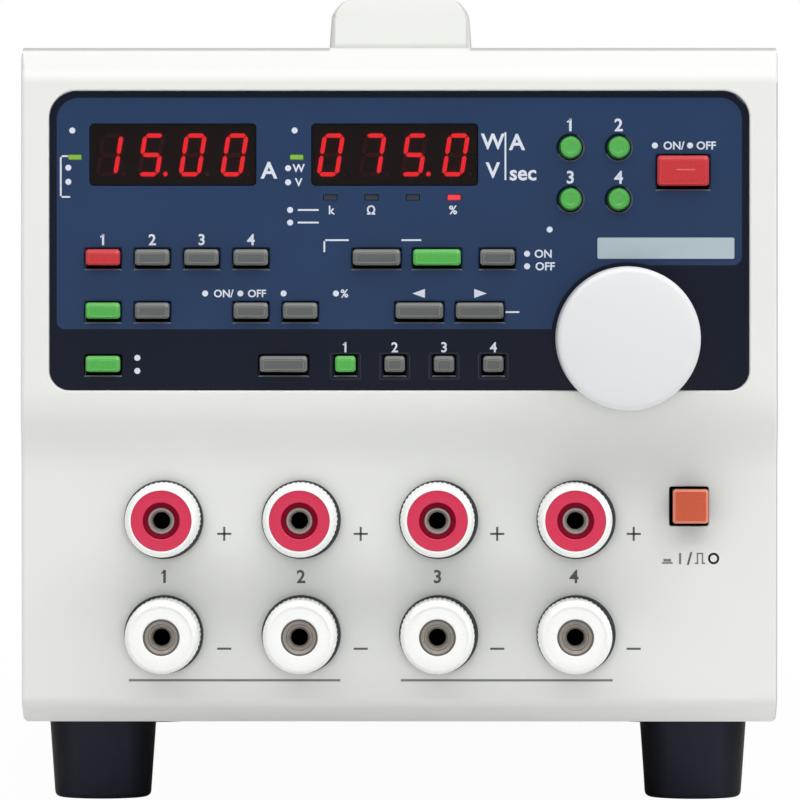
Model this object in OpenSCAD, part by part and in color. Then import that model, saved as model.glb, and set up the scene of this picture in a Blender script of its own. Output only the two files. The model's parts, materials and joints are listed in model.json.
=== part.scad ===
// Four-channel bench electronic load: a narrow, deep instrument with a moulded front bezel, a sunken
// control panel, eight binding posts, a strap handle and four tapered feet. The front faces -Y, the
// floor is z = 0, x = 0 is the middle of the width and y = 0 is the middle of the whole depth.

/* [Case] */
// Width over the bezel and the cover
case_w = 150; // [146:1:180]
// Height of the case without its feet
case_h = 134.4; // [132:0.2:150]
// Depth from the bezel's face to the back of the rear panel
case_d = 350; // [330:5:420]
// Thickness of the cover's sheet steel
cover_t = 1; // [0.8:0.1:1.5]
// Thickness of the chassis and the rear panel
chassis_t = 1.2; // [1:0.1:1.6]
// Gap between the cover and the chassis inside it
cover_gap = 0.2; // [0.1:0.05:0.4]

/* [Front bezel] */
// Depth of the moulded bezel
bezel_d = 18; // [16:0.5:24]
// Wall of the moulded bezel
bezel_wall = 2.5; // [2:0.1:3]
// Height of the slope along the bezel's top edge
brow_h = 5; // [3:0.1:6]
// Depth of the slope along the bezel's top edge
brow_d = 9; // [6:0.5:12]
// How far the terminal face lies behind the control face
step_back = 4; // [2:0.5:6]
// Height of the terminal face's upper edge above the case's bottom
step_z = 53.4; // [51:0.2:54]
// Height of the slope between the two faces
step_h = 9.4; // [7:0.2:10]
// Height of the slope along the bezel's bottom edge
chin_h = 3.8; // [2.5:0.1:4.5]
// Depth of the slope along the bezel's bottom edge
chin_d = 7; // [5:0.5:8]

/* [Control panel] */
// Distance from the case's sides to the sunken control panel
panel_side = 5.4; // [4.5:0.1:6.5]
// Height of the sunken control panel
panel_h = 59.6; // [59:0.2:62]
// Distance from the case's top to the panel's upper edge
panel_drop = 8.4; // [7.5:0.1:9]
// Corner radius at the panel's upper corners
panel_r_top = 5.5; // [3:0.5:8]
// Corner radius at the panel's lower corners
panel_r_low = 4; // [2:0.5:6]
// How far the printed overlay lies below the bezel's face
panel_sink = 1.2; // [0.6:0.1:2]
// Thickness of the printed overlay
overlay_t = 0.6; // [0.4:0.1:1]
// Thickness of the bezel's floor behind the overlay
floor_t = 2.2; // [1.8:0.1:3]

/* [Keys] */
// Width of a plain key
key_w = 6.7; // [5:0.1:8]
// Height of a plain key
key_h = 3.6; // [3:0.1:4.5]
// Width of a wide key
wide_key_w = 9.3; // [8:0.1:10.5]
// Width of a memory key
small_key_w = 3.9; // [3:0.1:5]
// Width of the main input key
main_key_w = 10.1; // [8:0.1:12]
// Height of the main input key
main_key_h = 6.4; // [5:0.1:8]
// Diameter of a round channel key
round_key_d = 4.7; // [4:0.1:6]
// Spacing of the plain keys' columns
key_pitch = 9.8; // [9.4:0.1:10.2]
// Spacing of the rows of keys
row_pitch = 10.6; // [10:0.1:11]
// How far a key stands out of the overlay
key_proud = 1.8; // [1:0.1:3]
// How far a key travels when it is pressed
key_travel = 0.5; // [0.3:0.1:0.8]
// Gap between a key and its hole
key_gap = 0.2; // [0.1:0.05:0.3]
// Further gap below a rectangular key
key_under = 0.5; // [0.2:0.1:0.8]

/* [Displays] */
// Width of a display window
window_w = 33.2; // [30:0.2:34]
// Height of a display window
window_h = 12.4; // [11:0.2:14]

/* [Knob] */
// Diameter of the setting knob
knob_d = 28.6; // [24:0.2:30]
// Depth of the setting knob
knob_l = 16; // [12:0.5:20]
// Diameter of the knob's shaft
shaft_d = 6; // [4:0.5:7]

/* [Binding posts] */
// Diameter of a post's knurled cap
cap_d = 14.8; // [13:0.2:18]
// Length of a post's knurled cap
cap_l = 17; // [14:0.5:20]
// Diameter of the coloured ring in a cap's face
ring_d = 12.3; // [10.5:0.1:12.8]
// Diameter of a post's threaded stud
stud_d = 6; // [5.5:0.1:7]
// Bore of the socket for a test plug
socket_d = 4; // [3.5:0.1:4.2]
// Depth of that socket
socket_l = 15; // [14:0.5:16]
// Distance from the case's side to the first column of posts
post_side = 28.2; // [27:0.1:29]
// Height of the upper row of posts above the case's bottom
post_up = 40.9; // [40:0.1:41.5]
// Distance from the last column of posts to the middle of the power button
post_to_button = 22.9; // [21:0.1:24]
// Spacing of the positive and negative rows
post_row_pitch = 23; // [20:0.5:24]

/* [Power button] */
// Width and height of the power button
button_w = 6.8; // [6:0.1:9]
// Distance from the middle of the power button to the case's side
button_side = 17.3; // [16.5:0.1:18]
// Height of the button's middle above the case's bottom
button_up = 43.3; // [42:0.1:44]
// Gap round the power button
button_gap = 0.5; // [0.2:0.1:0.6]
// How far the latched button stands out of the terminal face
button_proud = 5; // [3:0.5:7]

/* [Feet] */
// Height of a foot
foot_h = 16.6; // [10:0.2:20]
// Diameter of a foot where it meets the case
foot_top_d = 21.5; // [18:0.1:24]
// Diameter of a foot at the floor
foot_low_d = 19.2; // [16:0.2:22]
// Distance of a foot's axis from the middle of the case
foot_x = 60; // [50:1:60]
// Distance of the front feet's axes from the bezel's face
foot_front = 36; // [32:1:60]

/* [Handle] */
// Width of the handle's end caps
handle_w = 28.4; // [24:0.2:36]
// Height of the handle's end caps above the cover
handle_h = 11.5; // [11:0.1:15]
// Length of one end cap
handle_cap_l = 34; // [28:1:45]
// Length of the whole handle
handle_l = 250; // [220:2:290]
// Width of the strap
strap_w = 22; // [18:0.5:23]
// Thickness of the strap
strap_t = 4; // [3:0.5:4.5]

/* [Cooling] */
// Width and height of the square fan
fan_w = 80; // [70:1:84]
// Depth of the fan
fan_d = 25; // [20:1:28]
// Number of fan blades
blade_count = 7; // [5:1:9]
// Number of fins across the heat sink
fin_count = 17; // [11:1:21]
// Length of the heat sink
sink_l = 190; // [150:5:200]

/* [Hidden] */
$fn = 64;

// The overall frame.
case_z = foot_h;
case_top = case_z + case_h;
wall_in = case_w / 2 - cover_t;
chassis_x = wall_in - cover_gap;
chassis_top = case_top - cover_t - cover_gap;
knob_gap = 1;
inlet_flange_t = 2;
earth_l = 12;
whole_front = knob_gap + knob_l;
front_y = (whole_front - case_d - earth_l) / 2;
rear_in = case_d - chassis_t;

// The control panel's layers, as distances behind the bezel's face.
overlay_back = panel_sink + overlay_t;
floor_back = overlay_back + floor_t;
panel_w = case_w - 2 * panel_side;
panel_left = -panel_w / 2;
panel_right = panel_w / 2;
panel_z = case_top - panel_drop - panel_h / 2;
overlay_gap = 0.1;
lip_t = 0.8;
key_lip = 0.45;
plunger_l = 0.5;
key_seat = 0.1;
switch_gap = 0.1;
switch_tip = floor_back + key_seat + lip_t + plunger_l + key_travel + switch_gap;
switch_tip_l = 0.8;
switch_tip_d = 3.4;
switch_body_w = 6;
switch_body_l = 3.1;
board_front = switch_tip + switch_tip_l + switch_body_l;
board_t = 1.6;
board_margin = 0.8;

// The terminal face, which lies behind the control face.
terminal_wall = step_back + bezel_wall;
terminal_top = case_z + step_z;

// The layout of the keys, as [name, x, z above the panel's middle, width, height, colour].
row_1 = -3.6;
row_2 = row_1 - row_pitch;
row_3 = row_2 - row_pitch;
column_1 = panel_left + 10.7;
wide_pitch = 12;
wide_1 = -4.5;
digit_1 = 4;
memory_x = -23;
memory_1 = -10.7;
round_pitch_x = 9.6;
round_z = 18.5;
round_pitch_z = 10.3;
main_x = panel_right - 13.2;
round_share = 0.161;
round_x = main_x - round_share * panel_w;
main_z = 13.6;
lit_green = [0.25, 0.72, 0.27];
lit_red = [0.82, 0.2, 0.24];
unlit = [0.36, 0.37, 0.36];
RECT_KEYS = [
    ["key_display_1", column_1, row_1, key_w, key_h, lit_red],
    ["key_display_2", column_1 + key_pitch, row_1, key_w, key_h, unlit],
    ["key_display_3", column_1 + 2 * key_pitch, row_1, key_w, key_h, unlit],
    ["key_display_4", column_1 + 3 * key_pitch, row_1, key_w, key_h, unlit],
    ["key_limit", wide_1, row_1, wide_key_w, key_h, unlit],
    ["key_value", wide_1 + wide_pitch, row_1, wide_key_w, key_h, lit_green],
    ["key_delay", wide_1 + 2 * wide_pitch, row_1, key_w, key_h, unlit],
    ["key_status", column_1, row_2, key_w, key_h, lit_green],
    ["key_setup", column_1 + key_pitch, row_2, key_w, key_h, unlit],
    ["key_tracking", column_1 + 3 * key_pitch, row_2, key_w, key_h, unlit],
    ["key_tracking_mode", column_1 + 4 * key_pitch, row_2, key_w, key_h, unlit],
    ["key_digit_left", digit_1, row_2, wide_key_w, key_h, unlit],
    ["key_digit_right", digit_1 + wide_pitch, row_2, wide_key_w, key_h, unlit],
    ["key_escape", column_1, row_3, key_w, key_h, lit_green],
    ["key_memory", memory_x, row_3, wide_key_w, key_h, unlit],
    ["key_memory_1", memory_1, row_3, small_key_w, key_h, lit_green],
    ["key_memory_2", memory_1 + key_pitch, row_3, small_key_w, key_h, unlit],
    ["key_memory_3", memory_1 + 2 * key_pitch, row_3, small_key_w, key_h, unlit],
    ["key_memory_4", memory_1 + 3 * key_pitch, row_3, small_key_w, key_h, unlit],
    ["key_main_input", main_x, main_z, main_key_w, main_key_h, lit_red]
];
ROUND_KEYS = [
    ["key_channel_1", round_x, round_z],
    ["key_channel_2", round_x + round_pitch_x, round_z],
    ["key_channel_3", round_x, round_z - round_pitch_z],
    ["key_channel_4", round_x + round_pitch_x, round_z - round_pitch_z]
];

// The displays and the small indicator lamps.
window_1 = panel_left + 24.6;
window_pitch = 44.1;
window_2 = window_1 + window_pitch;
window_z = 17.1;
window_gap = 0.1;
window_lip = 1.1;
window_r = 0.9;
lamp_reach = 2.9;
module_margin = 1;
lamp_w = 2.6;
lamp_h = 1;
lamp_gap = 0.1;
lamp_back = 0.05;
lamp_drop = 0.5;
mode_lamp_reach = 12.8;
mode_lamp_x = window_2 - mode_lamp_reach;
mode_lamp_pitch = 8.2;
mode_lamp_z = 8.6;
LAMPS = concat(
    [for (x = [window_1, window_2]) [x - window_w / 2 - lamp_reach, window_z - lamp_drop]],
    [for (i = [0:3]) [mode_lamp_x + i * mode_lamp_pitch, mode_lamp_z]]
);

// The knob and its encoder.
knob_x = panel_right - 24.3;
knob_z = panel_z - 19.4;
shaft_fit = 0.05;
bush_d = shaft_d + 3;
bush_front = 0;
encoder_w = 12.4;
encoder_h = 13.2;
bush_gap = 0.3;

// The binding posts, as [name, x, z, row] of each axis, and the place of the power button beside them.
button_x = case_w / 2 - button_side;
button_z = case_z + button_up;
post_x = post_side - case_w / 2;
post_z = case_z + post_up;
post_pitch = (button_x - post_to_button - post_x) / 3;
bush_t = 1.5;
bush_rim = 0.45;
bush_flange_d = cap_d + 2 * bush_rim;
neck_wall = 1.5;
neck_d = stud_d + 2 * neck_wall;
neck_gap = 0.1;
washer_t = 1.5;
nut_t = 4.5;
nut_w = 10;
cap_seat = 0.2;
cap_front = step_back - bush_t - cap_seat - cap_l;
stud_recess = 0.8;
stud_inset = 1.5;
stud_front = cap_front + stud_recess;
stud_back = bezel_d - stud_inset;
thread_fit = 0.05;
flute_count = 36;
POSTS = [
    for (i = [0:3]) for (row = [0, 1])
        [str("post_cap_", i + 1, row == 0 ? "_positive" : "_negative"),
         post_x + i * post_pitch, post_z - row * post_row_pitch, row]
];

// The power button's travel and its switch.
button_out = 2.5;
button_over = 0.8;
plunger_w = 4;
button_lip = 1;

// The bosses that carry the control board, and those that hold the bezel on the chassis.
board_w = panel_w - 2 * board_margin;
board_h = panel_h - 2 * board_margin;
boss_d = 4.6;
board_boss_x = board_w / 2 - boss_d / 2;
board_boss_z = board_h / 2 - boss_d / 2;
frame_boss_d = 6;
frame_boss_x = case_w / 2 - bezel_wall - frame_boss_d / 2 + 0.3;
frame_boss_low = case_z + 8.5;
frame_boss_high = case_top - 5;
pilot_d = 2;

// The handle, in the middle of the depth.
handle_y = case_d / 2;
handle_crown_r = 115;
strap_gap = 0.3;
strap_rise = 3.5;
strap_reach = 15;
strap_mouth = handle_l / 2 - handle_cap_l;
strap_r = (strap_mouth * strap_mouth + strap_rise * strap_rise) / (2 * strap_rise);
strap_top = handle_h - 1;
strap_end = strap_mouth + strap_reach;
handle_bolt_y = handle_l / 2 - 8;

// The cooling tunnel behind the front, low on one side.
inner_side = 3.8;
tunnel_wall = 2;
sink_w = fan_w + 2 * tunnel_wall;
sink_gap = 0.3;
fan_x = -chassis_x + inner_side + sink_w / 2;
fan_z = case_z + chassis_t + sink_gap + sink_w / 2;
fan_bore = fan_w - 4;
fan_hole_pitch = fan_w * 0.894;
fan_hub_d = 32;
fan_front = rear_in - fan_d;
sink_back = fan_front - sink_gap;
sink_wall = 4;
fin_t = 1.4;
transistor_w = 20;
transistor_l = 15.6;
transistor_h = 5;
transistor_x = sink_w / 4 + 1;
motor_t = 3;
axle_d = 3;
axle_fit = 0.03;

// The rear panel's fittings.
inlet_x = case_w / 2 - 31;
inlet_z = case_z + 27;
inlet_w = 27;
inlet_h = 19.6;
inlet_l = 22;
earth_z = case_z + 52;
earth_d = 4;
screw_d = 3;
screw_head_d = 5.6;
rear_screw_edge = 8;
foot_rear = case_d - foot_front;
foot_seat = 5;
standoff_h = 6;
standoff_d = 5;

// The mains transformer and the supply board, in the space beside the cooling tunnel.
supply_gap = 6;
supply_front = 45;
supply_left = fan_x + sink_w / 2 + supply_gap;
supply_right = chassis_x - inner_side;
supply_x = (supply_left + supply_right) / 2;
main_board_w = supply_right - supply_left;
main_board_l = 150;
main_board_y = bezel_d + supply_front;
board_edge = 4;
part_gap = 0.02;
transformer_room = 100;
transformer_y = rear_in - transformer_room;

STATIC = [
    "front_panel", "control_overlay", "display_windows", "display_modules", "indicator_lamps",
    "control_board", "key_switches", "encoder", "power_switch", "post_bushes", "post_studs",
    "base_chassis", "top_cover", "rear_panel", "feet", "handle_end_caps", "handle_strap", "fasteners",
    "heat_sink", "load_transistors", "fan_frame", "transformer", "main_board", "mains_inlet", "earth_stud"
];

// A corner of an outline, rounded with a tangent arc of radius r.
function unit(v) = v / norm(v);
function turn(a) = a > 180 ? a - 360 : a < -180 ? a + 360 : a;
function corner(p, before, after, r) =
    let (
        u = unit(before - p),
        v = unit(after - p),
        half = acos(u * v) / 2,
        c = p + unit(u + v) * r / sin(half),
        s = p + u * r / tan(half) - c,
        e = p + v * r / tan(half) - c,
        start = atan2(s[1], s[0]),
        sweep = turn(atan2(e[1], e[0]) - start),
        steps = max(2, ceil(abs(sweep) / 6))
    )
    [for (i = [0:steps]) c + r * [cos(start + sweep * i / steps), sin(start + sweep * i / steps)]];

// An outline from points [x, y, corner radius].
function rounded(points) =
    let (n = len(points), flat = [for (p = points) [p[0], p[1]]])
    [for (i = [0:n - 1]) each
        points[i][2] > 0
            ? corner(flat[i], flat[(i + n - 1) % n], flat[(i + 1) % n], points[i][2])
            : [flat[i]]];

// Everything below is placed by its distance behind the bezel's face.
module at_front() {
    translate([0, front_y, 0]) children();
}

// A front view, in x and z, made solid from y0 to y1.
module front_view(y0, y1) {
    translate([0, y1, 0]) rotate([90, 0, 0]) linear_extrude(y1 - y0) children();
}

// A side view, in y and z, made solid across a width in the middle.
module side_view(w) {
    rotate([90, 0, 90]) linear_extrude(w, center = true) children();
}

module block(x, z, w, h, y0, y1) {
    translate([x - w / 2, y0, z - h / 2]) cube([w, y1 - y0, h]);
}

module rod(x, z, d, y0, y1) {
    translate([x, y0, z]) rotate([-90, 0, 0]) cylinder(h = y1 - y0, d = d);
}

// A turned shape whose outline is given as [radius, distance in front of y].
module turned(x, y, z) {
    translate([x, y, z]) rotate([90, 0, 0]) rotate_extrude() children();
}

module rounded_box_2d(w, h, r) {
    polygon(rounded([[-w / 2, -h / 2, r], [w / 2, -h / 2, r], [w / 2, h / 2, r], [-w / 2, h / 2, r]]));
}

module panel_outline(inset) {
    w = panel_w / 2 - inset;
    h = panel_h / 2 - inset;
    top_r = panel_r_top - inset;
    low_r = panel_r_low - inset;
    translate([0, panel_z])
        polygon(rounded([[-w, -h, low_r], [w, -h, low_r], [w, h, top_r], [-w, h, top_r]]));
}

// A display window's outline, shrunk by an inset, made solid from y0 to y1.
module pane(x, inset, r, y0, y1) {
    front_view(y0, y1) translate([x, panel_z + window_z])
        rounded_box_2d(window_w - 2 * inset, window_h - 2 * inset, r);
}

// Every hole through the panel's layers, each grown by a margin.
module panel_holes(y0, y1) {
    for (k = RECT_KEYS)
        block(k[1], panel_z + k[2], k[3] + 2 * key_gap, k[4] + 2 * key_gap, y0, y1);
    for (k = ROUND_KEYS)
        rod(k[1], panel_z + k[2], round_key_d + 2 * key_gap, y0, y1);
    for (x = [window_1, window_2])
        pane(x, 0, window_r, y0, y1);
    for (lamp = LAMPS)
        block(lamp[0], panel_z + lamp[1], lamp_w + 2 * lamp_gap, lamp_h + 2 * lamp_gap, y0, y1);
    rod(knob_x, knob_z, bush_d + 2 * bush_gap, y0, y1);
}

// The bezel's side view: brow, control face, slope, terminal face and chin.
module bezel_outline() {
    polygon(rounded([
        [bezel_d, case_top, 0],
        [brow_d, case_top, 5],
        [0, case_top - brow_h, 3],
        [0, terminal_top + step_h, 18],
        [step_back, terminal_top, 18],
        [step_back, case_z + chin_h, 2.5],
        [step_back + chin_d, case_z, 1],
        [bezel_d, case_z, 0]
    ]));
}

// The hollow behind the bezel's walls.
module bezel_hollow_outline() {
    polygon([
        [bezel_d + 1, case_top - bezel_wall],
        [brow_d + bezel_wall / 2, case_top - bezel_wall],
        [floor_back, case_top - brow_h - bezel_wall / 2],
        [floor_back, terminal_top + step_h - 1],
        [terminal_wall, terminal_top - 1],
        [terminal_wall, case_z + chin_h + 1],
        [step_back + chin_d + 1, case_z + bezel_wall],
        [bezel_d + 1, case_z + bezel_wall]
    ]);
}

// Moulded ribs that stiffen the terminal face between the columns of posts.
module terminal_ribs() {
    rib_t = 1.6;
    rib_l = 7;
    low = case_z + chin_h + 0.5;
    high = terminal_top - 0.5;
    for (i = [0:2])
        block(post_x + (i + 0.5) * post_pitch, (low + high) / 2, rib_t, high - low,
              terminal_wall - 0.5, terminal_wall + rib_l);
}

module board_boss_places() {
    for (side = [-1, 1]) for (level = [-1, 1])
        translate([side * board_boss_x, 0, panel_z + level * board_boss_z]) children();
}

module frame_boss_places() {
    for (side = [-1, 1]) for (z = [frame_boss_low, terminal_top - 1, frame_boss_high])
        translate([side * frame_boss_x, 0, z]) children();
}

module front_panel() {
    color("#E9EAE6") at_front() difference() {
        union() {
            difference() {
                intersection() {
                    side_view(case_w) bezel_outline();
                    front_view(-1, bezel_d)
                        translate([0, case_z + case_h / 2]) rounded_box_2d(case_w, case_h, 1.2);
                }
                side_view(case_w - 2 * bezel_wall) bezel_hollow_outline();
            }
            terminal_ribs();
            board_boss_places() rod(0, 0, boss_d, floor_back - 0.5, board_front);
            frame_boss_places() rod(0, 0, frame_boss_d, terminal_wall - 0.5, bezel_d);
        }
        front_view(-1, overlay_back) panel_outline(0);
        panel_holes(overlay_back - 1, floor_back + 1);
        for (p = POSTS) rod(p[1], p[2], neck_d + 2 * neck_gap, step_back - 2, terminal_wall + 1);
        block(button_x, button_z, button_w + 2 * button_gap, button_w + 2 * button_gap,
              step_back - 2, terminal_wall + 1);
        board_boss_places() rod(0, 0, pilot_d, floor_back + 1, board_front + 1);
        frame_boss_places() rod(0, 0, pilot_d, terminal_wall + 1, bezel_d + 1);
    }
}

module control_overlay() {
    color("#232A44") at_front() difference() {
        front_view(panel_sink, overlay_back) panel_outline(overlay_gap);
        panel_holes(panel_sink - 1, overlay_back + 1);
    }
}

module display_windows() {
    color([0.22, 0.03, 0.05]) at_front() for (x = [window_1, window_2]) {
        pane(x, window_gap, window_r - window_gap, panel_sink + window_gap, floor_back);
        pane(x, -window_lip, window_r + window_lip, floor_back, floor_back + lip_t);
    }
}

// Four-digit lamp modules, with a light well for each digit.
module display_modules() {
    digit_pitch = window_w / 4;
    well_w = digit_pitch - 2;
    well_h = window_h - 3;
    well_l = 0.4;
    front = floor_back + lip_t + 0.1;
    color([0.16, 0.15, 0.16]) at_front() for (x = [window_1, window_2]) difference() {
        block(x, panel_z + window_z, window_w + 2 * module_margin, window_h + module_margin,
              front, board_front);
        for (i = [0:3])
            block(x + (i - 1.5) * digit_pitch, panel_z + window_z, well_w, well_h, front - 1, front + well_l);
    }
}

module indicator_lamps() {
    color([0.45, 0.8, 0.2]) at_front() for (lamp = LAMPS)
        block(lamp[0], panel_z + lamp[1], lamp_w, lamp_h, panel_sink + lamp_back, board_front);
}

module control_board() {
    color([0.1, 0.35, 0.2]) at_front() difference() {
        block(0, panel_z, board_w, board_h, board_front, board_front + board_t);
        board_boss_places() rod(0, 0, pilot_d, board_front - 1, board_front + board_t + 1);
    }
}

module key_switches() {
    color([0.2, 0.2, 0.2]) at_front() for (k = concat(RECT_KEYS, ROUND_KEYS)) {
        block(k[1], panel_z + k[2], switch_body_w, switch_body_w, board_front - switch_body_l, board_front);
        rod(k[1], panel_z + k[2], switch_tip_d, switch_tip, board_front - switch_body_l);
    }
}

// A rotary encoder: square body on the board, and a threaded bush through the floor with its nut.
module encoder() {
    nut_h = 1.6;
    color([0.55, 0.56, 0.58]) at_front() difference() {
        union() {
            block(knob_x, knob_z, encoder_w, encoder_h, floor_back, board_front);
            rod(knob_x, knob_z, bush_d, bush_front, floor_back + 1);
            translate([knob_x, panel_sink, knob_z]) rotate([90, 0, 0])
                cylinder(h = nut_h, d = bush_d + 3, $fn = 6);
        }
        rod(knob_x, knob_z, shaft_d + 2 * shaft_fit, -whole_front, board_front - 1);
    }
}

// The knob is a moulded cup with a central boss, and its steel shaft turns in the encoder's bush.
module setting_knob() {
    knob_r = knob_d / 2;
    shell = 1.8;
    boss_r = shaft_d / 2 + 2.5;
    grip = knob_l - 5;
    color("#EDEEEC") at_front() turned(knob_x, -knob_gap, knob_z) polygon(rounded([
        [0, knob_l, 0],
        [knob_r - 1.6, knob_l, 0],
        [knob_r, knob_l - 1.2, 0.9],
        [knob_r, 0, 0.4],
        [knob_r - shell, 0, 0],
        [knob_r - shell, knob_l - 2.4, 1.2],
        [boss_r, knob_l - 2.4, 1],
        [boss_r, 0.5, 0],
        [shaft_d / 2, 0.5, 0],
        [shaft_d / 2, grip, 0],
        [0, grip, 0]
    ]));
    color([0.7, 0.7, 0.72]) at_front()
        rod(knob_x, knob_z, shaft_d, -knob_gap - grip, board_front - 1.5);
}

// A key's cap, sloped round its face, with a lip behind the floor that keeps it in its hole.
module rect_key(k) {
    x = k[1];
    z = panel_z + k[2];
    w = k[3] / 2;
    h = k[4] / 2;
    low = key_under - h;
    face = panel_sink - key_proud;
    shoulder = face + 0.7;
    lip_y = floor_back + key_seat;
    color(k[5]) at_front() {
        intersection() {
            translate([x, 0, z]) side_view(k[3]) polygon([
                [lip_y, low],
                [lip_y, h],
                [shoulder, h],
                [face, h - 0.7],
                [face, low + 0.3],
                [shoulder, low]
            ]);
            translate([x, 0, z - h - 1]) linear_extrude(k[4] + 2) polygon([
                [-w, lip_y],
                [w, lip_y],
                [w, shoulder],
                [w - 0.5, face],
                [-w + 0.5, face],
                [-w, shoulder]
            ]);
        }
        block(x, z, k[3] + 2 * key_lip, k[4] + 2 * key_lip, lip_y, lip_y + lip_t);
        rod(x, z, key_h - 1, lip_y + lip_t, lip_y + lip_t + plunger_l);
    }
}

// A round key, with a chamfered rim and a shallow dished face.
module round_key(k) {
    r = round_key_d / 2;
    lip_y = floor_back + key_seat;
    back = lip_y + lip_t + plunger_l;
    reach = back - panel_sink + key_proud;
    color(lit_green) at_front() turned(k[1], back, panel_z + k[2]) polygon([
        [0, 0],
        [(key_h - 1) / 2, 0],
        [(key_h - 1) / 2, plunger_l],
        [r + key_lip, plunger_l],
        [r + key_lip, plunger_l + lip_t],
        [r, plunger_l + lip_t],
        [r, reach - 1.5],
        [r - 0.45, reach - 0.1],
        [r - 0.6, reach],
        [r - 1.1, reach],
        [r - 1.4, reach - 0.15],
        [0, reach - 0.2]
    ]);
}

// Insulating bushes: a collar on the terminal face, and a washer behind it.
module post_bushes() {
    bore = stud_d;
    color([0.1, 0.1, 0.11]) at_front() for (p = POSTS) {
        difference() {
            union() {
                rod(p[1], p[2], bush_flange_d, step_back - bush_t, step_back);
                rod(p[1], p[2], neck_d, step_back - 0.2, terminal_wall);
            }
            rod(p[1], p[2], bore, 0, bezel_d);
        }
        difference() {
            rod(p[1], p[2], neck_d + 4, terminal_wall, terminal_wall + washer_t);
            rod(p[1], p[2], bore, 0, bezel_d);
        }
    }
}

// The posts' metal studs, each with a socket for a test plug down its middle.
module post_studs() {
    mouth_w = 0.4;
    color([0.62, 0.58, 0.52]) at_front() {
        for (p = POSTS) difference() {
            rod(p[1], p[2], stud_d, stud_front, stud_back);
            rod(p[1], p[2], socket_d, stud_front - 1, stud_front + socket_l);
            turned(p[1], stud_front, p[2]) polygon([
                [0, -mouth_w], [socket_d / 2, -mouth_w], [socket_d / 2 + mouth_w, 0], [0, 0]
            ]);
        }
    }
}

// The earth stud on the rear panel, with a collar that is welded to it.
module earth_stud() {
    color([0.75, 0.72, 0.6]) at_front() {
        rod(inlet_x, earth_z, earth_d, rear_in - 8, case_d + earth_l);
        rod(inlet_x, earth_z, earth_d + 5, case_d, case_d + 1.5);
    }
}

// A knurled cap with a round shoulder. A second solid is the coloured ring set in its face.
module post_cap(p) {
    r = cap_d / 2;
    shell_bore = stud_d / 2 + thread_fit;
    face_bore = stud_d / 2 + 0.4;
    ring_t = 2;
    mouth = 0.5;
    ring_color = p[3] == 0 ? [0.88, 0.2, 0.33] : [0.95, 0.95, 0.94];
    color([0.95, 0.95, 0.94]) at_front() difference() {
        intersection() {
            turned(p[1], cap_front + cap_l, p[2]) polygon(rounded([
                [0, 0, 0],
                [r - 0.5, 0, 0],
                [r, 0.6, 0],
                [r, cap_l - 2.2, 1.6],
                [ring_d / 2 + 0.3, cap_l, 0.8],
                [0, cap_l, 0]
            ]));
            front_view(cap_front - 1, cap_front + cap_l + 1) translate([p[1], p[2]]) difference() {
                circle(r = r);
                for (i = [0:flute_count - 1])
                    rotate(i * 360 / flute_count) translate([r + 0.15, 0]) circle(r = 0.4);
            }
        }
        rod(p[1], p[2], 2 * shell_bore, cap_front, cap_front + cap_l + 1);
        rod(p[1], p[2], ring_d, cap_front - 1, cap_front + ring_t);
    }
    color(ring_color) at_front() turned(p[1], cap_front + ring_t, p[2]) polygon([
        [face_bore, 0],
        [ring_d / 2, 0],
        [ring_d / 2, ring_t],
        [face_bore + mouth, ring_t],
        [face_bore, ring_t - mouth]
    ]);
}

// The button, its retaining lip and the plunger that reaches into the switch.
module power_button() {
    face = step_back - button_proud;
    bevel = 0.4;
    w = button_w / 2;
    lip_y = terminal_wall + button_out + 0.4;
    color("#D2603C") at_front() {
        intersection() {
            translate([button_x, 0, button_z]) side_view(button_w) polygon([
                [lip_y, -w],
                [lip_y, w],
                [face + bevel, w],
                [face, w - bevel],
                [face, bevel - w],
                [face + bevel, -w]
            ]);
            translate([button_x, 0, button_z - w - 1]) linear_extrude(button_w + 2) polygon([
                [-w, lip_y],
                [w, lip_y],
                [w, face + bevel],
                [w - bevel, face],
                [bevel - w, face],
                [-w, face + bevel]
            ]);
        }
        block(button_x, button_z, button_w + 2.4, button_w + 2.4, lip_y, lip_y + button_lip);
        block(button_x, button_z, plunger_w, plunger_w, lip_y + button_lip, bezel_d + chassis_t + 5);
    }
}

// The mains switch behind the chassis, with a socket for the button's plunger and two rear lugs.
module power_switch() {
    body_w = 13;
    body_l = 22;
    front = bezel_d + chassis_t;
    socket_w = plunger_w + 0.4;
    color([0.15, 0.15, 0.16]) at_front() {
        difference() {
            block(button_x, button_z, body_w, body_w, front, front + body_l);
            block(button_x, button_z, socket_w, socket_w, front - 1, front + 5 + button_over + 0.6);
        }
        for (side = [-1, 1])
            block(button_x + side * 3.5, button_z, 0.8, 6, front + body_l, front + body_l + 7);
    }
}

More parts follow.
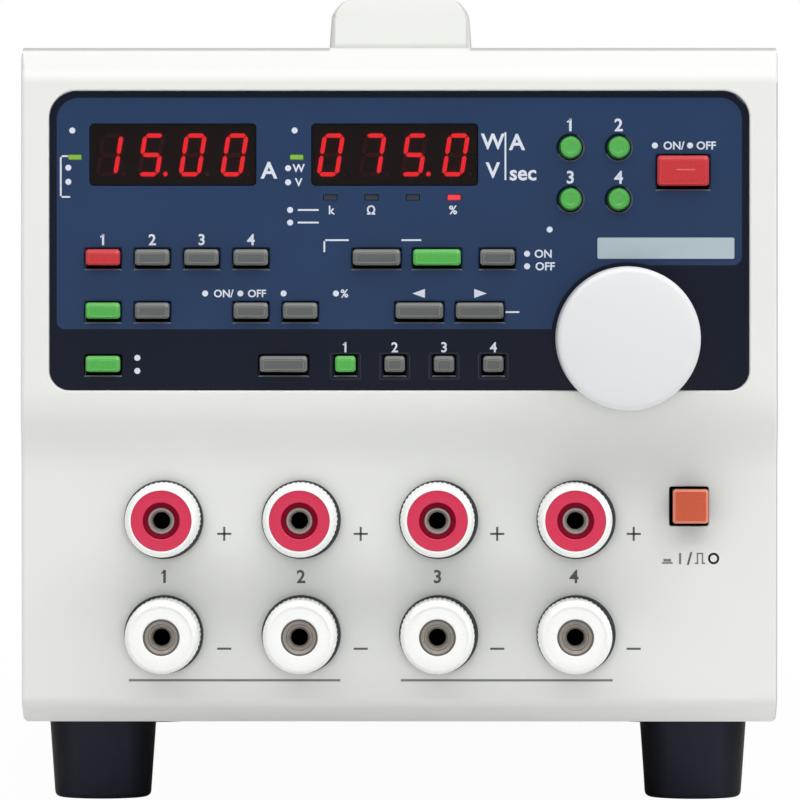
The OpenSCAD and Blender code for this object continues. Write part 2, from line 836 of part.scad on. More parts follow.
// Sheet-metal tray: front wall with cut-outs, floor with turned-up edges, and stand-offs.
module base_chassis() {
    edge_h = 14;
    wall_y = bezel_d;
    rear_edge_x = fan_x + sink_w / 2 + 2;
    opening_pitch = case_w * 0.3;
    opening_w = opening_pitch - 15;
    color([0.72, 0.73, 0.74]) at_front() difference() {
        union() {
            translate([-chassis_x, wall_y, case_z]) cube([2 * chassis_x, rear_in - wall_y, chassis_t]);
            translate([-chassis_x, wall_y, case_z]) cube([2 * chassis_x, chassis_t, chassis_top - case_z]);
            for (side = [0, 1]) {
                translate([side * (2 * chassis_x - chassis_t) - chassis_x, wall_y, case_z])
                    cube([chassis_t, rear_in - wall_y, edge_h]);
                translate([side * (2 * chassis_x - chassis_t) - chassis_x, wall_y, case_z])
                    cube([chassis_t, 12, chassis_top - case_z]);
            }
            translate([-chassis_x, wall_y, chassis_top - chassis_t]) cube([2 * chassis_x, 12, chassis_t]);
            translate([rear_edge_x, rear_in - chassis_t, case_z])
                cube([chassis_x - rear_edge_x, chassis_t, edge_h]);
            main_board_holes() translate([0, 0, case_z]) cylinder(h = chassis_t + standoff_h, d = standoff_d);
        }
        for (i = [-1:1])
            block(i * opening_pitch, panel_z, opening_w, panel_h - 16, wall_y - 1, wall_y + chassis_t + 1);
        for (p = POSTS) rod(p[1], p[2], neck_d + 6, wall_y - 1, wall_y + chassis_t + 1);
        block(button_x, button_z, plunger_w + 3, plunger_w + 3, wall_y - 1, wall_y + chassis_t + 1);
        frame_boss_places() rod(0, 0, screw_d - 0.6, wall_y - 1, wall_y + chassis_t + 1);
        for (y = [foot_front, foot_rear]) for (side = [-1, 1])
            translate([side * foot_x, y, case_z - 1]) cylinder(h = chassis_t + 2, d = screw_d);
        cover_screw_places() rotate([0, 90, 0]) cylinder(h = 6, d = screw_d, center = true);
        main_board_holes() translate([0, 0, case_z + chassis_t]) cylinder(h = standoff_h + 1, d = pilot_d);
        rear_screw_low() rod(0, 0, screw_d, -chassis_t - 2, 1);
    }
}

// The cover's side screws, each seen along +X from the inside of its wall.
module cover_screw_places() {
    for (side = [0, 1]) mirror([side, 0, 0]) for (y = [bezel_d + 30, case_d / 2, case_d - 30])
        translate([wall_in, y, case_z + 8]) children();
}

module rear_screw_low() {
    for (x = [fan_x + sink_w / 2 + rear_screw_edge, chassis_x - rear_screw_edge])
        translate([x, rear_in, case_z + rear_screw_edge]) children();
}

module rear_screw_high() {
    for (x = [rear_screw_edge - chassis_x, 0, chassis_x - rear_screw_edge])
        translate([x, rear_in, chassis_top - rear_screw_edge]) children();
}

// Bent sheet over the top and sides, with rows of cooling slots and turned-in tabs at the back.
module top_cover() {
    front = bezel_d + 0.2;
    slot_w = 3;
    slot_h = 34;
    slot_pitch = 8;
    slots_front = 60;
    slots_low = 40;
    slots_high = 86;
    slots = floor((case_d - 190) / slot_pitch);
    low = case_z + 0.3;
    tab_h = 14;
    bend_r = 1.6;
    color("#E4E5E0") at_front() difference() {
        union() {
            front_view(front, case_d) difference() {
                translate([0, (case_top + low) / 2]) rounded_box_2d(case_w, case_top - low, bend_r);
                translate([-wall_in, case_z - 1]) square([2 * wall_in, case_h + 1 - cover_t]);
                translate([-case_w, case_z - 1]) square([2 * case_w, 3]);
            }
            translate([-wall_in - 0.2, rear_in - cover_t, case_top - tab_h])
                cube([2 * wall_in + 0.4, cover_t, tab_h - cover_t + 0.2]);
        }
        for (side = [-1, 1]) for (i = [0:slots - 1]) for (up = [slots_low, slots_high])
            translate([side * wall_in, slots_front + i * slot_pitch, case_z + up]) slot_cut(slot_w, slot_h);
        cover_screw_places() rotate([0, 90, 0]) {
            cylinder(h = 6, d = screw_d, center = true);
            cylinder(h = cover_t, d1 = screw_d, d2 = screw_head_d);
        }
        for (side = [-1, 1])
            translate([0, handle_y + side * handle_bolt_y, case_top - 3]) cylinder(h = 6, d = screw_d + 1);
        rear_screw_high() rod(0, 0, screw_d, -cover_t - 2, 1);
    }
}

// An upright slot with round ends, cut along X.
module slot_cut(w, h) {
    rotate([90, 0, 90]) linear_extrude(6, center = true) {
        square([w, h - w], center = true);
        for (end = [-1, 1]) translate([0, end * (h - w) / 2]) circle(d = w);
    }
}

module fan_hole_places() {
    for (sx = [-1, 1]) for (sz = [-1, 1])
        translate([fan_x + sx * fan_hole_pitch / 2, 0, fan_z + sz * fan_hole_pitch / 2]) children();
}

// The punched finger guard over the fan: rings of slots between four spokes.
module fan_grille() {
    ring_w = 3.4;
    ring_pitch = 5.2;
    rings = floor((fan_bore / 2 - 9) / ring_pitch);
    front_view(rear_in - 1, case_d + 1) translate([fan_x, fan_z]) difference() {
        for (i = [0:rings]) difference() {
            circle(r = 9 + i * ring_pitch);
            circle(r = 9 + i * ring_pitch - ring_w);
        }
        for (a = [45, 135]) rotate(a) square([fan_w, 3.6], center = true);
    }
}

module rear_panel() {
    vent_pitch = 6;
    vents_up = 92;
    color("#DEDFDA") at_front() difference() {
        translate([-chassis_x, rear_in, case_z]) cube([2 * chassis_x, chassis_t, chassis_top - case_z]);
        fan_grille();
        fan_hole_places() rod(0, 0, screw_d, rear_in - 1, case_d + 1);
        block(inlet_x, inlet_z, inlet_w + 0.2, inlet_h + 0.2, rear_in - 1, case_d + 1);
        rod(inlet_x, earth_z, earth_d, rear_in - 1, case_d + 1);
        for (i = [-2.5:1:2.5])
            front_view(rear_in - 1, case_d + 1) translate([inlet_x + i * vent_pitch, case_z + vents_up]) {
                square([3, 24], center = true);
                for (end = [-1, 1]) translate([0, end * 12]) circle(d = 3);
            }
        rear_screw_low() rod(0, 0, screw_d, -1, chassis_t + 1);
        rear_screw_high() rod(0, 0, screw_d, -1, chassis_t + 1);
    }
}

// Tapered feet, each with a deep recess for its screw.
module feet() {
    top_r = foot_top_d / 2;
    low_r = foot_low_d / 2;
    recess_r = 4.2;
    seat = foot_h - foot_seat;
    color([0.09, 0.09, 0.11]) at_front() for (y = [foot_front, foot_rear]) for (side = [-1, 1])
        translate([side * foot_x, y, 0]) rotate_extrude() polygon(rounded([
            [recess_r, 0, 0],
            [low_r, 0, 1.2],
            [top_r, foot_h, 0],
            [screw_d / 2 + 0.2, foot_h, 0],
            [screw_d / 2 + 0.2, seat, 0],
            [recess_r, seat, 0]
        ]));
}

// The arched strap's side view, between two circles, grown by a gap for the slot that holds it.
module strap_outline(gap, reach) {
    middle = case_top + strap_top - strap_r;
    intersection() {
        difference() {
            translate([handle_y, middle]) circle(r = strap_r + gap, $fn = 360);
            translate([handle_y, middle]) circle(r = strap_r - strap_t - gap, $fn = 360);
        }
        translate([handle_y - reach, case_top - 5]) square([2 * reach, handle_h + 10]);
    }
}

// The crowned end caps, hollow where the strap's ends slide.
module handle_end_caps() {
    w = handle_w / 2;
    color("#DADCD8") at_front() for (end = [0, 1])
        translate([0, end * 2 * handle_y, 0]) mirror([0, end, 0]) difference() {
            intersection() {
                front_view(handle_y - handle_l / 2 - 1, handle_y) intersection() {
                    translate([0, case_top]) polygon(rounded([
                        [-w, 0, 0], [w, 0, 0], [w - 0.8, handle_h, 4.2], [-w + 0.8, handle_h, 4.2]
                    ]));
                    translate([0, case_top + handle_h - handle_crown_r]) circle(r = handle_crown_r);
                }
                side_view(handle_w + 2) translate([handle_y, case_top]) polygon(rounded([
                    [-handle_l / 2, 0, 0],
                    [-strap_mouth, 0, 0],
                    [-strap_mouth, handle_h, 1],
                    [-handle_l / 2 + 1.5, handle_h, 2]
                ]));
            }
            side_view(strap_w + 2 * strap_gap) strap_outline(strap_gap, strap_end + 3);
            translate([0, handle_y - handle_bolt_y, case_top - 1]) cylinder(h = 5, d = pilot_d);
        }
}

module handle_strap() {
    color("#C9CBC8") at_front() side_view(strap_w) strap_outline(0, strap_end);
}

// A pan-head screw with a cross recess. It points along +Z and its head's underside is at z = 0.
module pan_screw(d, head_d, length) {
    head_h = head_d * 0.35;
    difference() {
        union() {
            rotate_extrude() polygon(rounded([
                [0, -head_h, 0],
                [head_d * 0.36, -head_h, head_d * 0.3],
                [head_d / 2, -head_h * 0.2, 0],
                [head_d / 2, 0, 0],
                [0, 0, 0]
            ]));
            cylinder(h = length, d = d);
        }
        for (a = [0, 90]) rotate(a) translate([-head_d * 0.3, -head_d * 0.07, -head_h - 1])
            cube([head_d * 0.6, head_d * 0.14, 1 + head_h * 0.6]);
    }
}

// A countersunk screw along +Z, with its face at z = 0.
module flat_screw(d, head_d, head_h, length) {
    difference() {
        union() {
            cylinder(h = head_h, d1 = head_d, d2 = d);
            cylinder(h = length, d = d);
        }
        for (a = [0, 90]) rotate(a) translate([-head_d * 0.28, -head_d * 0.06, -1])
            cube([head_d * 0.56, head_d * 0.12, 1.5]);
    }
}

module fasteners() {
    color([0.75, 0.76, 0.77]) at_front() {
        for (p = POSTS) translate([p[1], terminal_wall + washer_t, p[2]]) rotate([-90, 0, 0]) difference() {
            cylinder(h = nut_t, d = nut_w / cos(30), $fn = 6);
            translate([0, 0, -1]) cylinder(h = nut_t + 2, d = stud_d);
        }
        board_boss_places() translate([0, board_front + board_t, 0]) rotate([90, 0, 0])
            pan_screw(pilot_d, 3.8, 5);
        frame_boss_places() translate([0, bezel_d + chassis_t, 0]) rotate([90, 0, 0])
            pan_screw(pilot_d, 4.6, 7);
        cover_screw_places() translate([cover_t, 0, 0]) rotate([0, -90, 0])
            flat_screw(screw_d, screw_head_d, cover_t, cover_t + cover_gap + chassis_t + 1.5);
        rear_screw_low() translate([0, chassis_t, 0]) rotate([90, 0, 0]) pan_screw(screw_d, screw_head_d, 6);
        rear_screw_high() translate([0, chassis_t, 0]) rotate([90, 0, 0]) pan_screw(screw_d, screw_head_d, 6);
        fan_hole_places() translate([0, case_d, 0]) rotate([90, 0, 0]) pan_screw(screw_d, screw_head_d, 7);
        for (y = [foot_front, foot_rear]) for (side = [-1, 1])
            translate([side * foot_x, y, foot_h - foot_seat])
                pan_screw(screw_d, screw_head_d, foot_seat + chassis_t);
        for (end = [-1, 1]) translate([0, handle_y + end * handle_bolt_y, case_top - cover_t])
            pan_screw(pilot_d, 4.6, cover_t + 3.6);
    }
}

// Extruded tunnel: four walls with fins hanging between the sides.
module heat_sink() {
    inner = sink_w - 2 * sink_wall;
    fin_pitch = inner / (fin_count + 1);
    color([0.7, 0.71, 0.72]) at_front() front_view(sink_back - sink_l, sink_back)
        translate([fan_x, fan_z]) {
            difference() {
                square(sink_w, center = true);
                square(inner, center = true);
            }
            for (i = [1:fin_count]) translate([-inner / 2 + i * fin_pitch - fin_t / 2, -inner / 2 - 0.5])
                square([fin_t, inner * 0.46]);
            for (i = [1:fin_count]) translate([-inner / 2 + i * fin_pitch - fin_t / 2, inner * 0.04 + 0.5])
                square([fin_t, inner * 0.46]);
        }
}

// Power transistors clamped flat on the tunnel's top, four to a channel in two rows.
module load_transistors() {
    base = fan_z + sink_w / 2;
    end = 12;
    tab = 4;
    hole_d = 3.4;
    pitch = (sink_l - 2 * end + 4) / 8;
    color([0.12, 0.12, 0.13]) at_front() for (row = [-1, 1]) for (i = [0:7])
        translate([fan_x + row * transistor_x, sink_back - sink_l + end + i * pitch, base])
            difference() {
                translate([-transistor_w / 2, 0, 0]) cube([transistor_w, transistor_l, transistor_h]);
                translate([row * (transistor_w / 2 - tab), transistor_l / 2, -1])
                    cylinder(h = transistor_h + 2, d = hole_d);
            }
}

// Square fan frame with two flanges, a round tunnel and a four-legged motor mount at the back.
module fan_frame() {
    half = fan_w / 2;
    flange_t = 4;
    color([0.13, 0.13, 0.14]) at_front() difference() {
        union() {
            for (y = [fan_front, rear_in - flange_t]) front_view(y, y + flange_t)
                translate([fan_x, fan_z]) difference() {
                    rounded_box_2d(fan_w, fan_w, 4);
                    circle(d = fan_bore);
                }
            difference() {
                rod(fan_x, fan_z, fan_w - 0.6, fan_front + 1, rear_in - 1);
                rod(fan_x, fan_z, fan_bore, fan_front - 1, rear_in + 1);
            }
            for (a = [0, 90]) front_view(rear_in - motor_t, rear_in)
                translate([fan_x, fan_z]) rotate(a) square([2 * half - 2, 4], center = true);
            rod(fan_x, fan_z, fan_hub_d, rear_in - motor_t, rear_in);
            rod(fan_x, fan_z, axle_d + 6, rear_in - motor_t - 8, rear_in - motor_t + 1);
        }
        fan_hole_places() rod(0, 0, screw_d + 0.3, fan_front - 1, rear_in + 1);
        rod(fan_x, fan_z, axle_d + 2 * axle_fit, rear_in - motor_t - 9, rear_in - 1);
    }
}

// One blade's section, a thin cambered strip from the hub out to the tip.
function blade_section(r0, r1, bow, t) = concat(
    [for (i = [0:5]) [r0 + (r1 - r0) * i / 5, bow * sin(90 * i / 5) + t / 2]],
    [for (i = [5:-1:0]) [r0 + (r1 - r0) * i / 5, bow * sin(90 * i / 5) - t / 2]]
);

// The hub is a cup over the motor's bearing tube, with swept and twisted blades.
module fan_rotor() {
    hub_r = fan_hub_d / 2;
    tip_r = fan_bore / 2 - 1.2;
    hub_front = fan_front + 1.5;
    hub_back = rear_in - motor_t - 0.6;
    hub_l = hub_back - hub_front;
    cup = 1.8;
    color([0.12, 0.12, 0.13]) at_front() translate([fan_x, hub_front, fan_z]) rotate([-90, 0, 0]) {
        difference() {
            cylinder(h = hub_l, r = hub_r);
            translate([0, 0, cup]) cylinder(h = hub_l, r = hub_r - cup);
        }
        cylinder(h = hub_l + motor_t - 2, d = axle_d);
        for (i = [0:blade_count - 1]) rotate(i * 360 / blade_count)
            translate([0, 0, 1]) linear_extrude(hub_l - 2, twist = 32, slices = 8, segments = 12)
                polygon(blade_section(hub_r - 0.6, tip_r, 4, 1.5));
    }
}

// Laminated core standing on the tray, with a separate wound bobbin through its windows.
module transformer() {
    leg = 9.5;
    window_l = 9.5;
    core_l = 6 * leg;
    core_h = 5 * leg;
    side_gap = 3;
    stack = main_board_w / 2 - side_gap;
    base = case_z + chassis_t;
    slack = 0.2;
    winding_r = 5;
    color([0.45, 0.45, 0.46]) at_front() translate([supply_x, transformer_y, base]) difference() {
        translate([-stack / 2, 0, 0]) cube([stack, core_l, core_h]);
        for (y = [leg, core_l - leg - window_l])
            translate([-stack, y, leg]) cube([2 * stack, window_l, 3 * leg]);
    }
    color([0.8, 0.66, 0.3]) at_front() translate([supply_x, transformer_y + core_l / 2, base + leg + slack])
        linear_extrude(3 * leg - 2 * slack) difference() {
            rounded_box_2d(2 * stack, 4 * leg - 2 * slack, winding_r);
            square([stack + 2 * slack, 2 * leg + 2 * slack], center = true);
        }
}

module main_board_holes() {
    for (sx = [-1, 1]) for (y = [board_edge, main_board_l - board_edge])
        translate([supply_x + sx * (main_board_w / 2 - board_edge), main_board_y + y, 0]) children();
}

// The supply board on its stand-offs, with its tall parts: reservoir capacitors, a heat sink, a relay.
module main_board() {
    base = case_z + chassis_t + standoff_h;
    top = base + board_t + part_gap;
    can_d = 18;
    can_h = 30;
    can_pitch = 24;
    fin = 3;
    fin_l = 90;
    fin_h = 35;
    relay = [20, 28, 16];
    color([0.1, 0.35, 0.2]) at_front() difference() {
        translate([supply_left, main_board_y, base]) cube([main_board_w, main_board_l, board_t]);
        main_board_holes() translate([0, 0, base - 1]) cylinder(h = board_t + 2, d = pilot_d);
    }
    color([0.1, 0.13, 0.25]) at_front() for (i = [0:2])
        translate([supply_right - can_d / 2 - 6, main_board_y + can_d + i * can_pitch, top])
            cylinder(h = can_h, d = can_d);
    color([0.7, 0.71, 0.72]) at_front()
        translate([supply_left + fin, main_board_y + can_d, top]) cube([fin, fin_l, fin_h]);
    color([0.15, 0.15, 0.16]) at_front()
        translate([supply_x - relay[0] / 2 + fin, main_board_y + fin_l + can_d + 2, top]) cube(relay);
}

// Appliance inlet: a flange outside the rear panel, a deep recess with two cut corners, three pins.
module inlet_pin_places() {
    for (pin = [[-7, -1.5], [7, -1.5], [0, 2.5]]) translate([pin[0], 0, pin[1]]) children();
}

module mains_inlet() {
    recess_w = 24.6;
    recess_h = 16.8;
    recess_l = 16;
    cut = 4.6;
    flange = 2;
    pin_w = 2;
    pin_h = 4;
    outer = case_d + inlet_flange_t;
    back = outer - inlet_l;
    color([0.1, 0.1, 0.1]) at_front() difference() {
        union() {
            front_view(case_d, outer) translate([inlet_x, inlet_z])
                rounded_box_2d(inlet_w + 2 * flange, inlet_h + 2 * flange, 2);
            block(inlet_x, inlet_z, inlet_w, inlet_h, back, case_d + 1);
        }
        front_view(outer - recess_l, outer + 1) translate([inlet_x, inlet_z]) polygon([
            [-recess_w / 2, -recess_h / 2],
            [recess_w / 2, -recess_h / 2],
            [recess_w / 2, recess_h / 2 - cut],
            [recess_w / 2 - cut, recess_h / 2],
            [-recess_w / 2 + cut, recess_h / 2],
            [-recess_w / 2, recess_h / 2 - cut]
        ]);
        translate([inlet_x, 0, inlet_z]) inlet_pin_places()
            block(0, 0, pin_w + 2 * part_gap, pin_h + 2 * part_gap, back - 1, outer);
    }
    color([0.78, 0.76, 0.7]) at_front() translate([inlet_x, 0, inlet_z]) inlet_pin_places()
        block(0, 0, pin_w, pin_h, back - 5, outer - 2);
}

front_panel();
control_overlay();
display_windows();
display_modules();
indicator_lamps();
control_board();
key_switches();
encoder();
power_switch();
post_bushes();
post_studs();
base_chassis();
top_cover();
rear_panel();
feet();
handle_end_caps();
handle_strap();
fasteners();
heat_sink();
load_transistors();
fan_frame();
transformer();
main_board();
mains_inlet();
earth_stud();
fan_rotor();
setting_knob();
power_button();
for (k = RECT_KEYS) rect_key(k);
for (k = ROUND_KEYS) round_key(k);
for (p = POSTS) post_cap(p);
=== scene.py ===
import json
import math

import bmesh
import bpy
from mathutils import Matrix, Vector

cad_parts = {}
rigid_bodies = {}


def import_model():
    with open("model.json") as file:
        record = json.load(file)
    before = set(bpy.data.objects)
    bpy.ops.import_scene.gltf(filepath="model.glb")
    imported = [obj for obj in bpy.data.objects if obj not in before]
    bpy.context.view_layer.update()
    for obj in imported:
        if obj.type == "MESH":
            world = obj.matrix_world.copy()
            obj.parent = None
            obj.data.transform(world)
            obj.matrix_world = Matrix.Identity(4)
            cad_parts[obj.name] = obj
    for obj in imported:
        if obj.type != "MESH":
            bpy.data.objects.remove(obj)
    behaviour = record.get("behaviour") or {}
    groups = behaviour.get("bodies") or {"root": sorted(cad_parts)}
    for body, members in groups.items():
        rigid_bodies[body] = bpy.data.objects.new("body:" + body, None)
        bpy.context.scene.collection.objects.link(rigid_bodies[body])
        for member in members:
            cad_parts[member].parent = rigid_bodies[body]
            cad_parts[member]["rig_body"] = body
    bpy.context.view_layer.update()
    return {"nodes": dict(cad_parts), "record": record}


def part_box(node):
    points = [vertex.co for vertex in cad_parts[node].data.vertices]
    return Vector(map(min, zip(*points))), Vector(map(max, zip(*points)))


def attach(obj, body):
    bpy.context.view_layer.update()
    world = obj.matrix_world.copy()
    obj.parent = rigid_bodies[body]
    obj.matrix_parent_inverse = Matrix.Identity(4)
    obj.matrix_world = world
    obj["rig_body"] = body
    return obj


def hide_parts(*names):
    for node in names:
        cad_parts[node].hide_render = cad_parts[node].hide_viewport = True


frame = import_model()
NODES = frame["nodes"]
CASE = "case"
MM = 0.001
TOP = 150
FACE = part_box("front_panel")[0].y
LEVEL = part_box("front_panel")[1].z - TOP * MM
# How far the film's face and the terminal face lie behind the bezel's face, in mm
OVERLAY = 1.2
TERMINALS = 4.0
# Half the bezel's width, the knob's axis, and the feet's axes with their shift to the left, in mm
HALF_WIDTH = 75
KNOB = (45.3, 92.4)
FEET = 60
FEET_SHIFT = 0.46
# How far a print stands out of its face and goes into it, in mm
INK_HEIGHT = 0.02
INK_DEPTH = 0.005
# Edges that bend more than this are rounded
STEEP = math.radians(24)


def clamp(value):
    return min(max(value, 0), 1)


def place(x, depth, z):
    return Vector((x * MM, FACE + depth * MM, LEVEL + z * MM))


def depth_of(point):
    return (point.y - FACE) / MM


def height_of(point):
    return (point.z - LEVEL) / MM


def middle_of(node):
    """The middle of a node's box, as x and z."""
    low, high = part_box(node)
    return (low.x + high.x) / 2 / MM, (height_of(low) + height_of(high)) / 2


# Colours and materials


def srgb(code):
    """A linear colour from an sRGB hex code."""
    def linear(v):
        return v / 12.92 if v <= 0.04045 else ((v + 0.055) / 1.055) ** 2.4
    return tuple(linear(int(code[i:i + 2], 16) / 255) for i in (0, 2, 4)) + (1.0,)


def darker(colour, share):
    return tuple(c * (1 - share) for c in colour[:3]) + (1.0,)


def add(tree, kind, inputs=None, **settings):
    """Adds a node with its settings. inputs gives each input a value or another node's socket."""
    node = tree.nodes.new(kind)
    for name, value in settings.items():
        setattr(node, name, value)
    for socket, value in (inputs or {}).items():
        if isinstance(value, bpy.types.NodeSocket):
            tree.links.new(value, node.inputs[socket])
        else:
            node.inputs[socket].default_value = value
    return node


def math_node(tree, operation, *given):
    """A Math node whose inputs are numbers or sockets."""
    return add(tree, "ShaderNodeMath", dict(enumerate(given)), operation=operation).outputs[0]


def away_from(tree, value, centre):
    """How far a value is from a centre."""
    return math_node(tree, "ABSOLUTE", math_node(tree, "SUBTRACT", value, centre))


def length_of(tree, a, b):
    """The length of a vector with the parts a and b."""
    squares = [math_node(tree, "MULTIPLY", part, part) for part in (a, b)]
    return math_node(tree, "SQRT", math_node(tree, "ADD", *squares))


def ramp(tree, value, low, high, first=0.0, last=1.0):
    """Goes from first to last while a value goes from low to high."""
    return add(tree, "ShaderNodeMapRange", {"Value": value, "From Min": low, "From Max": high,
                                            "To Min": first, "To Max": last}).outputs[0]


def blend(tree, share, first, second):
    """Goes from one colour to another with a share. Each of the three is a value or a socket."""
    return add(tree, "ShaderNodeMix", {0: share, 6: first, 7: second}, data_type="RGBA").outputs[2]


def noise(tree, where, size, detail, roughness=0.5):
    """Noise with a size in mm."""
    return add(tree, "ShaderNodeTexNoise", {"Vector": where, "Scale": 1 / (size * MM), "Detail": detail,
                                            "Roughness": roughness}).outputs[0]


def front_view(tree, where):
    """A point's x and its height above the level, as sockets."""
    split = add(tree, "ShaderNodeSeparateXYZ", {"Vector": where}).outputs
    return split["X"], math_node(tree, "SUBTRACT", split["Z"], LEVEL)


def empty_material(name):
    look = bpy.data.materials.new(name)
    look.use_nodes = True
    look.node_tree.nodes.clear()
    return look, look.node_tree


def surface(name, colour, rough, grain=0.4, relief=0.004, spread=0.05, mottle=0.03, patch=30,
            stretch=(1, 1, 1), specular=0.5, glow=None, **direct):
    """A surface with fine grain in its relief and gloss, and a faint drift in its colour. colour is an sRGB
    hex code or a function that adds the colour's nodes. grain and patch are sizes in mm, relief is a height
    in mm, and glow is a hex code with a strength."""
    look, tree = empty_material(name)
    where = add(tree, "ShaderNodeTexCoord").outputs["Object"]
    along = add(tree, "ShaderNodeMapping", {"Vector": where, "Scale": stretch}).outputs[0]
    fine = noise(tree, along, grain, 3.0, 0.6)
    if callable(colour):
        tint = colour(tree, where)
    else:
        tint = blend(tree, noise(tree, where, patch, 4.0), srgb(colour), darker(srgb(colour), 2 * mottle))
    gloss = ramp(tree, fine, 0.3, 0.7, rough - spread, rough + spread)
    bump = add(tree, "ShaderNodeBump", {"Height": fine, "Strength": 1.0, "Distance": relief * MM}).outputs[0]
    if glow:
        direct.update({"Emission Color": srgb(glow[0]), "Emission Strength": glow[1]})
    shader = add(tree, "ShaderNodeBsdfPrincipled", {"Base Color": tint, "Roughness": gloss, "Normal": bump,
                                                    "Specular IOR Level": specular, **direct})
    add(tree, "ShaderNodeOutputMaterial", {"Surface": shader.outputs[0]})
    return look


def rounded_zone(tree, x, z, left, right, bottom, top, radius):
    """One inside a rounded rectangle in x and z, given in mm, and zero outside it."""
    r = radius * MM
    out = []
    for value, low, high in ((x, left, right), (z, bottom, top)):
        away = away_from(tree, value, (low + high) / 2 * MM)
        straight = (high - low) / 2 * MM - r
        out.append(math_node(tree, "MAXIMUM", math_node(tree, "SUBTRACT", away, straight), 0.0))
    return math_node(tree, "LESS_THAN", length_of(tree, *out), r)


def overlay_print(tree, where):
    """The film's colours: a blue field with a dark printed border that swings round the knob. Along the top
    the dark band is painted shade under the recess's rim.
    """
    x, z = front_view(tree, where)
    edge, ring = 68.1, 15.1
    # Above the field's top the dark band is painted shade under the recess's rim.
    panel = rounded_zone(tree, x, z, -edge, edge, 60, 140.2, 4.4)
    left = rounded_zone(tree, x, z, -edge, 47, 94.2, TOP, 1.6)
    right = rounded_zone(tree, x, z, -80, edge, 106.9, TOP, 1.8)
    span = length_of(tree, math_node(tree, "SUBTRACT", x, KNOB[0] * MM),
                     math_node(tree, "SUBTRACT", z, KNOB[1] * MM))
    clear = math_node(tree, "GREATER_THAN", span, ring * MM)
    zone = math_node(tree, "MULTIPLY", math_node(tree, "MULTIPLY", panel, clear),
                     math_node(tree, "MAXIMUM", left, right))
    blue = blend(tree, noise(tree, where, 20, 3.0), srgb("263D62"), srgb("203656"))
    return blend(tree, zone, srgb("020D22"), blue)


def handle_painted_shade(tree, where):
    """Pale plastic with painted shade: greyer along its outline and darker where it meets the cover."""
    x, z = front_view(tree, where)
    # The lowest 1.7 mm above the cover fades to grey: painted shade where the handle meets the cover.
    out_of_shade = ramp(tree, z, 151.2 * MM, 152.9 * MM)
    upper = blend(tree, out_of_shade, srgb("C4C5C1"), srgb("EDEEEA"))
    # Outside a rounded box the colour is greyer: painted shade along the outline.
    inner = rounded_zone(tree, x, z, -13.4, 13.4, 130, 162.2, 5)
    return blend(tree, inner, srgb("D2D3CF"), upper)


def foot_painted_shading(tree, where):
    """Black plastic with painted shading: lighter down the middle of each foot and darker towards its left
    and right.
    """
    x = add(tree, "ShaderNodeSeparateXYZ", {"Vector": where}).outputs["X"]
    out = math_node(tree, "ABSOLUTE", math_node(tree, "ADD", x, FEET_SHIFT * MM))
    side = ramp(tree, away_from(tree, out, FEET * MM), 5.5 * MM, 10 * MM)
    return blend(tree, side, srgb("31323E"), srgb("0C0C10"))


def key_plastic(name, colour, rough=0.3, mottle=0.03, glow=None):
    return surface(name, colour, rough, grain=0.3, relief=0.003, mottle=mottle, glow=glow)


# Fine matt moulded ABS of the bezel and the handle's ends, with greyer copies and a handle colour that paint
# shade on edges
BEZEL = surface("abs_matt_white", "E9EAE6", 0.5, grain=0.35, relief=0.005, mottle=0.008, specular=0.2)
BEZEL_EDGE_SHADE = surface("abs_matt_painted_edge_shade", "C2C3C0", 0.45, grain=0.35, relief=0.005, mottle=0.01)
HANDLE_SIDE_SHADE = surface("abs_matt_side_painted_shade", "D8D9D5", 0.45, grain=0.35, relief=0.005, mottle=0.01)
HANDLE = surface("abs_matt_light", handle_painted_shade, 0.45, grain=0.35, relief=0.006, specular=0.3)
# Powder-coated steel sheet, with a slight orange peel
PAINT = surface("powder_coat_grey", "DEDFDA", 0.38, grain=1.1, relief=0.012, mottle=0.012, patch=60)
# Satin polycarbonate film over its printed colours, and its pale cut edge, also a painted highlight
FILM = surface("polycarbonate_film", overlay_print, 0.3, grain=0.25, relief=0.0012, spread=0.03,
               specular=0.35)
FILM_EDGE_HIGHLIGHT = surface("polycarbonate_edge_highlight", "767F8C", 0.35, relief=0.001)
# Screen-printed inks
INK, DARK_INK, SOFT_INK = (
    surface("screen_ink_" + tone, colour, 0.5, grain=0.15, relief=0.001, patch=3)
    for tone, colour in (("white", "D9E0EC"), ("grey", "55585A"), ("light_grey", "7C7E7C")))
FRAME_INK = surface("screen_ink_dark_grey", "22262F", 0.4, grain=0.15, relief=0.001)
SILVER_INK = surface("screen_ink_silver", "B4C4CB", 0.4, grain=0.12, relief=0.002, mottle=0.05, patch=6)
# Dark red acrylic of the display windows
WINDOW = surface("acrylic_smoked_red", "84404A", 0.08, grain=2, relief=0.0004, spread=0.02, mottle=0.01,
                 **{"Transmission Weight": 1.0, "IOR": 1.45, "Coat Weight": 0.9, "Coat Roughness": 0.1})
# Epoxy of the displays' segments and of the lamps, lit and unlit
SEGMENT_LIT = surface("segment_epoxy_lit", "F0342C", 0.4, relief=0.001, mottle=0.05, patch=2,
                      glow=("FF565B", 3.9))
SEGMENT_DARK = surface("segment_epoxy_unlit", "E6C2C2", 0.45, relief=0.001)
LAMP_GREEN = surface("lamp_epoxy_green", "78A246", 0.3, relief=0.001, mottle=0.05, patch=1,
                     glow=("86C024", 0.22))
LAMP_RED = surface("lamp_epoxy_red", "D8383F", 0.3, relief=0.001, mottle=0.05, patch=1,
                   glow=("FF3440", 0.35))
LAMP_DARK = surface("lamp_epoxy_unlit", "2B3039", 0.35, relief=0.001)
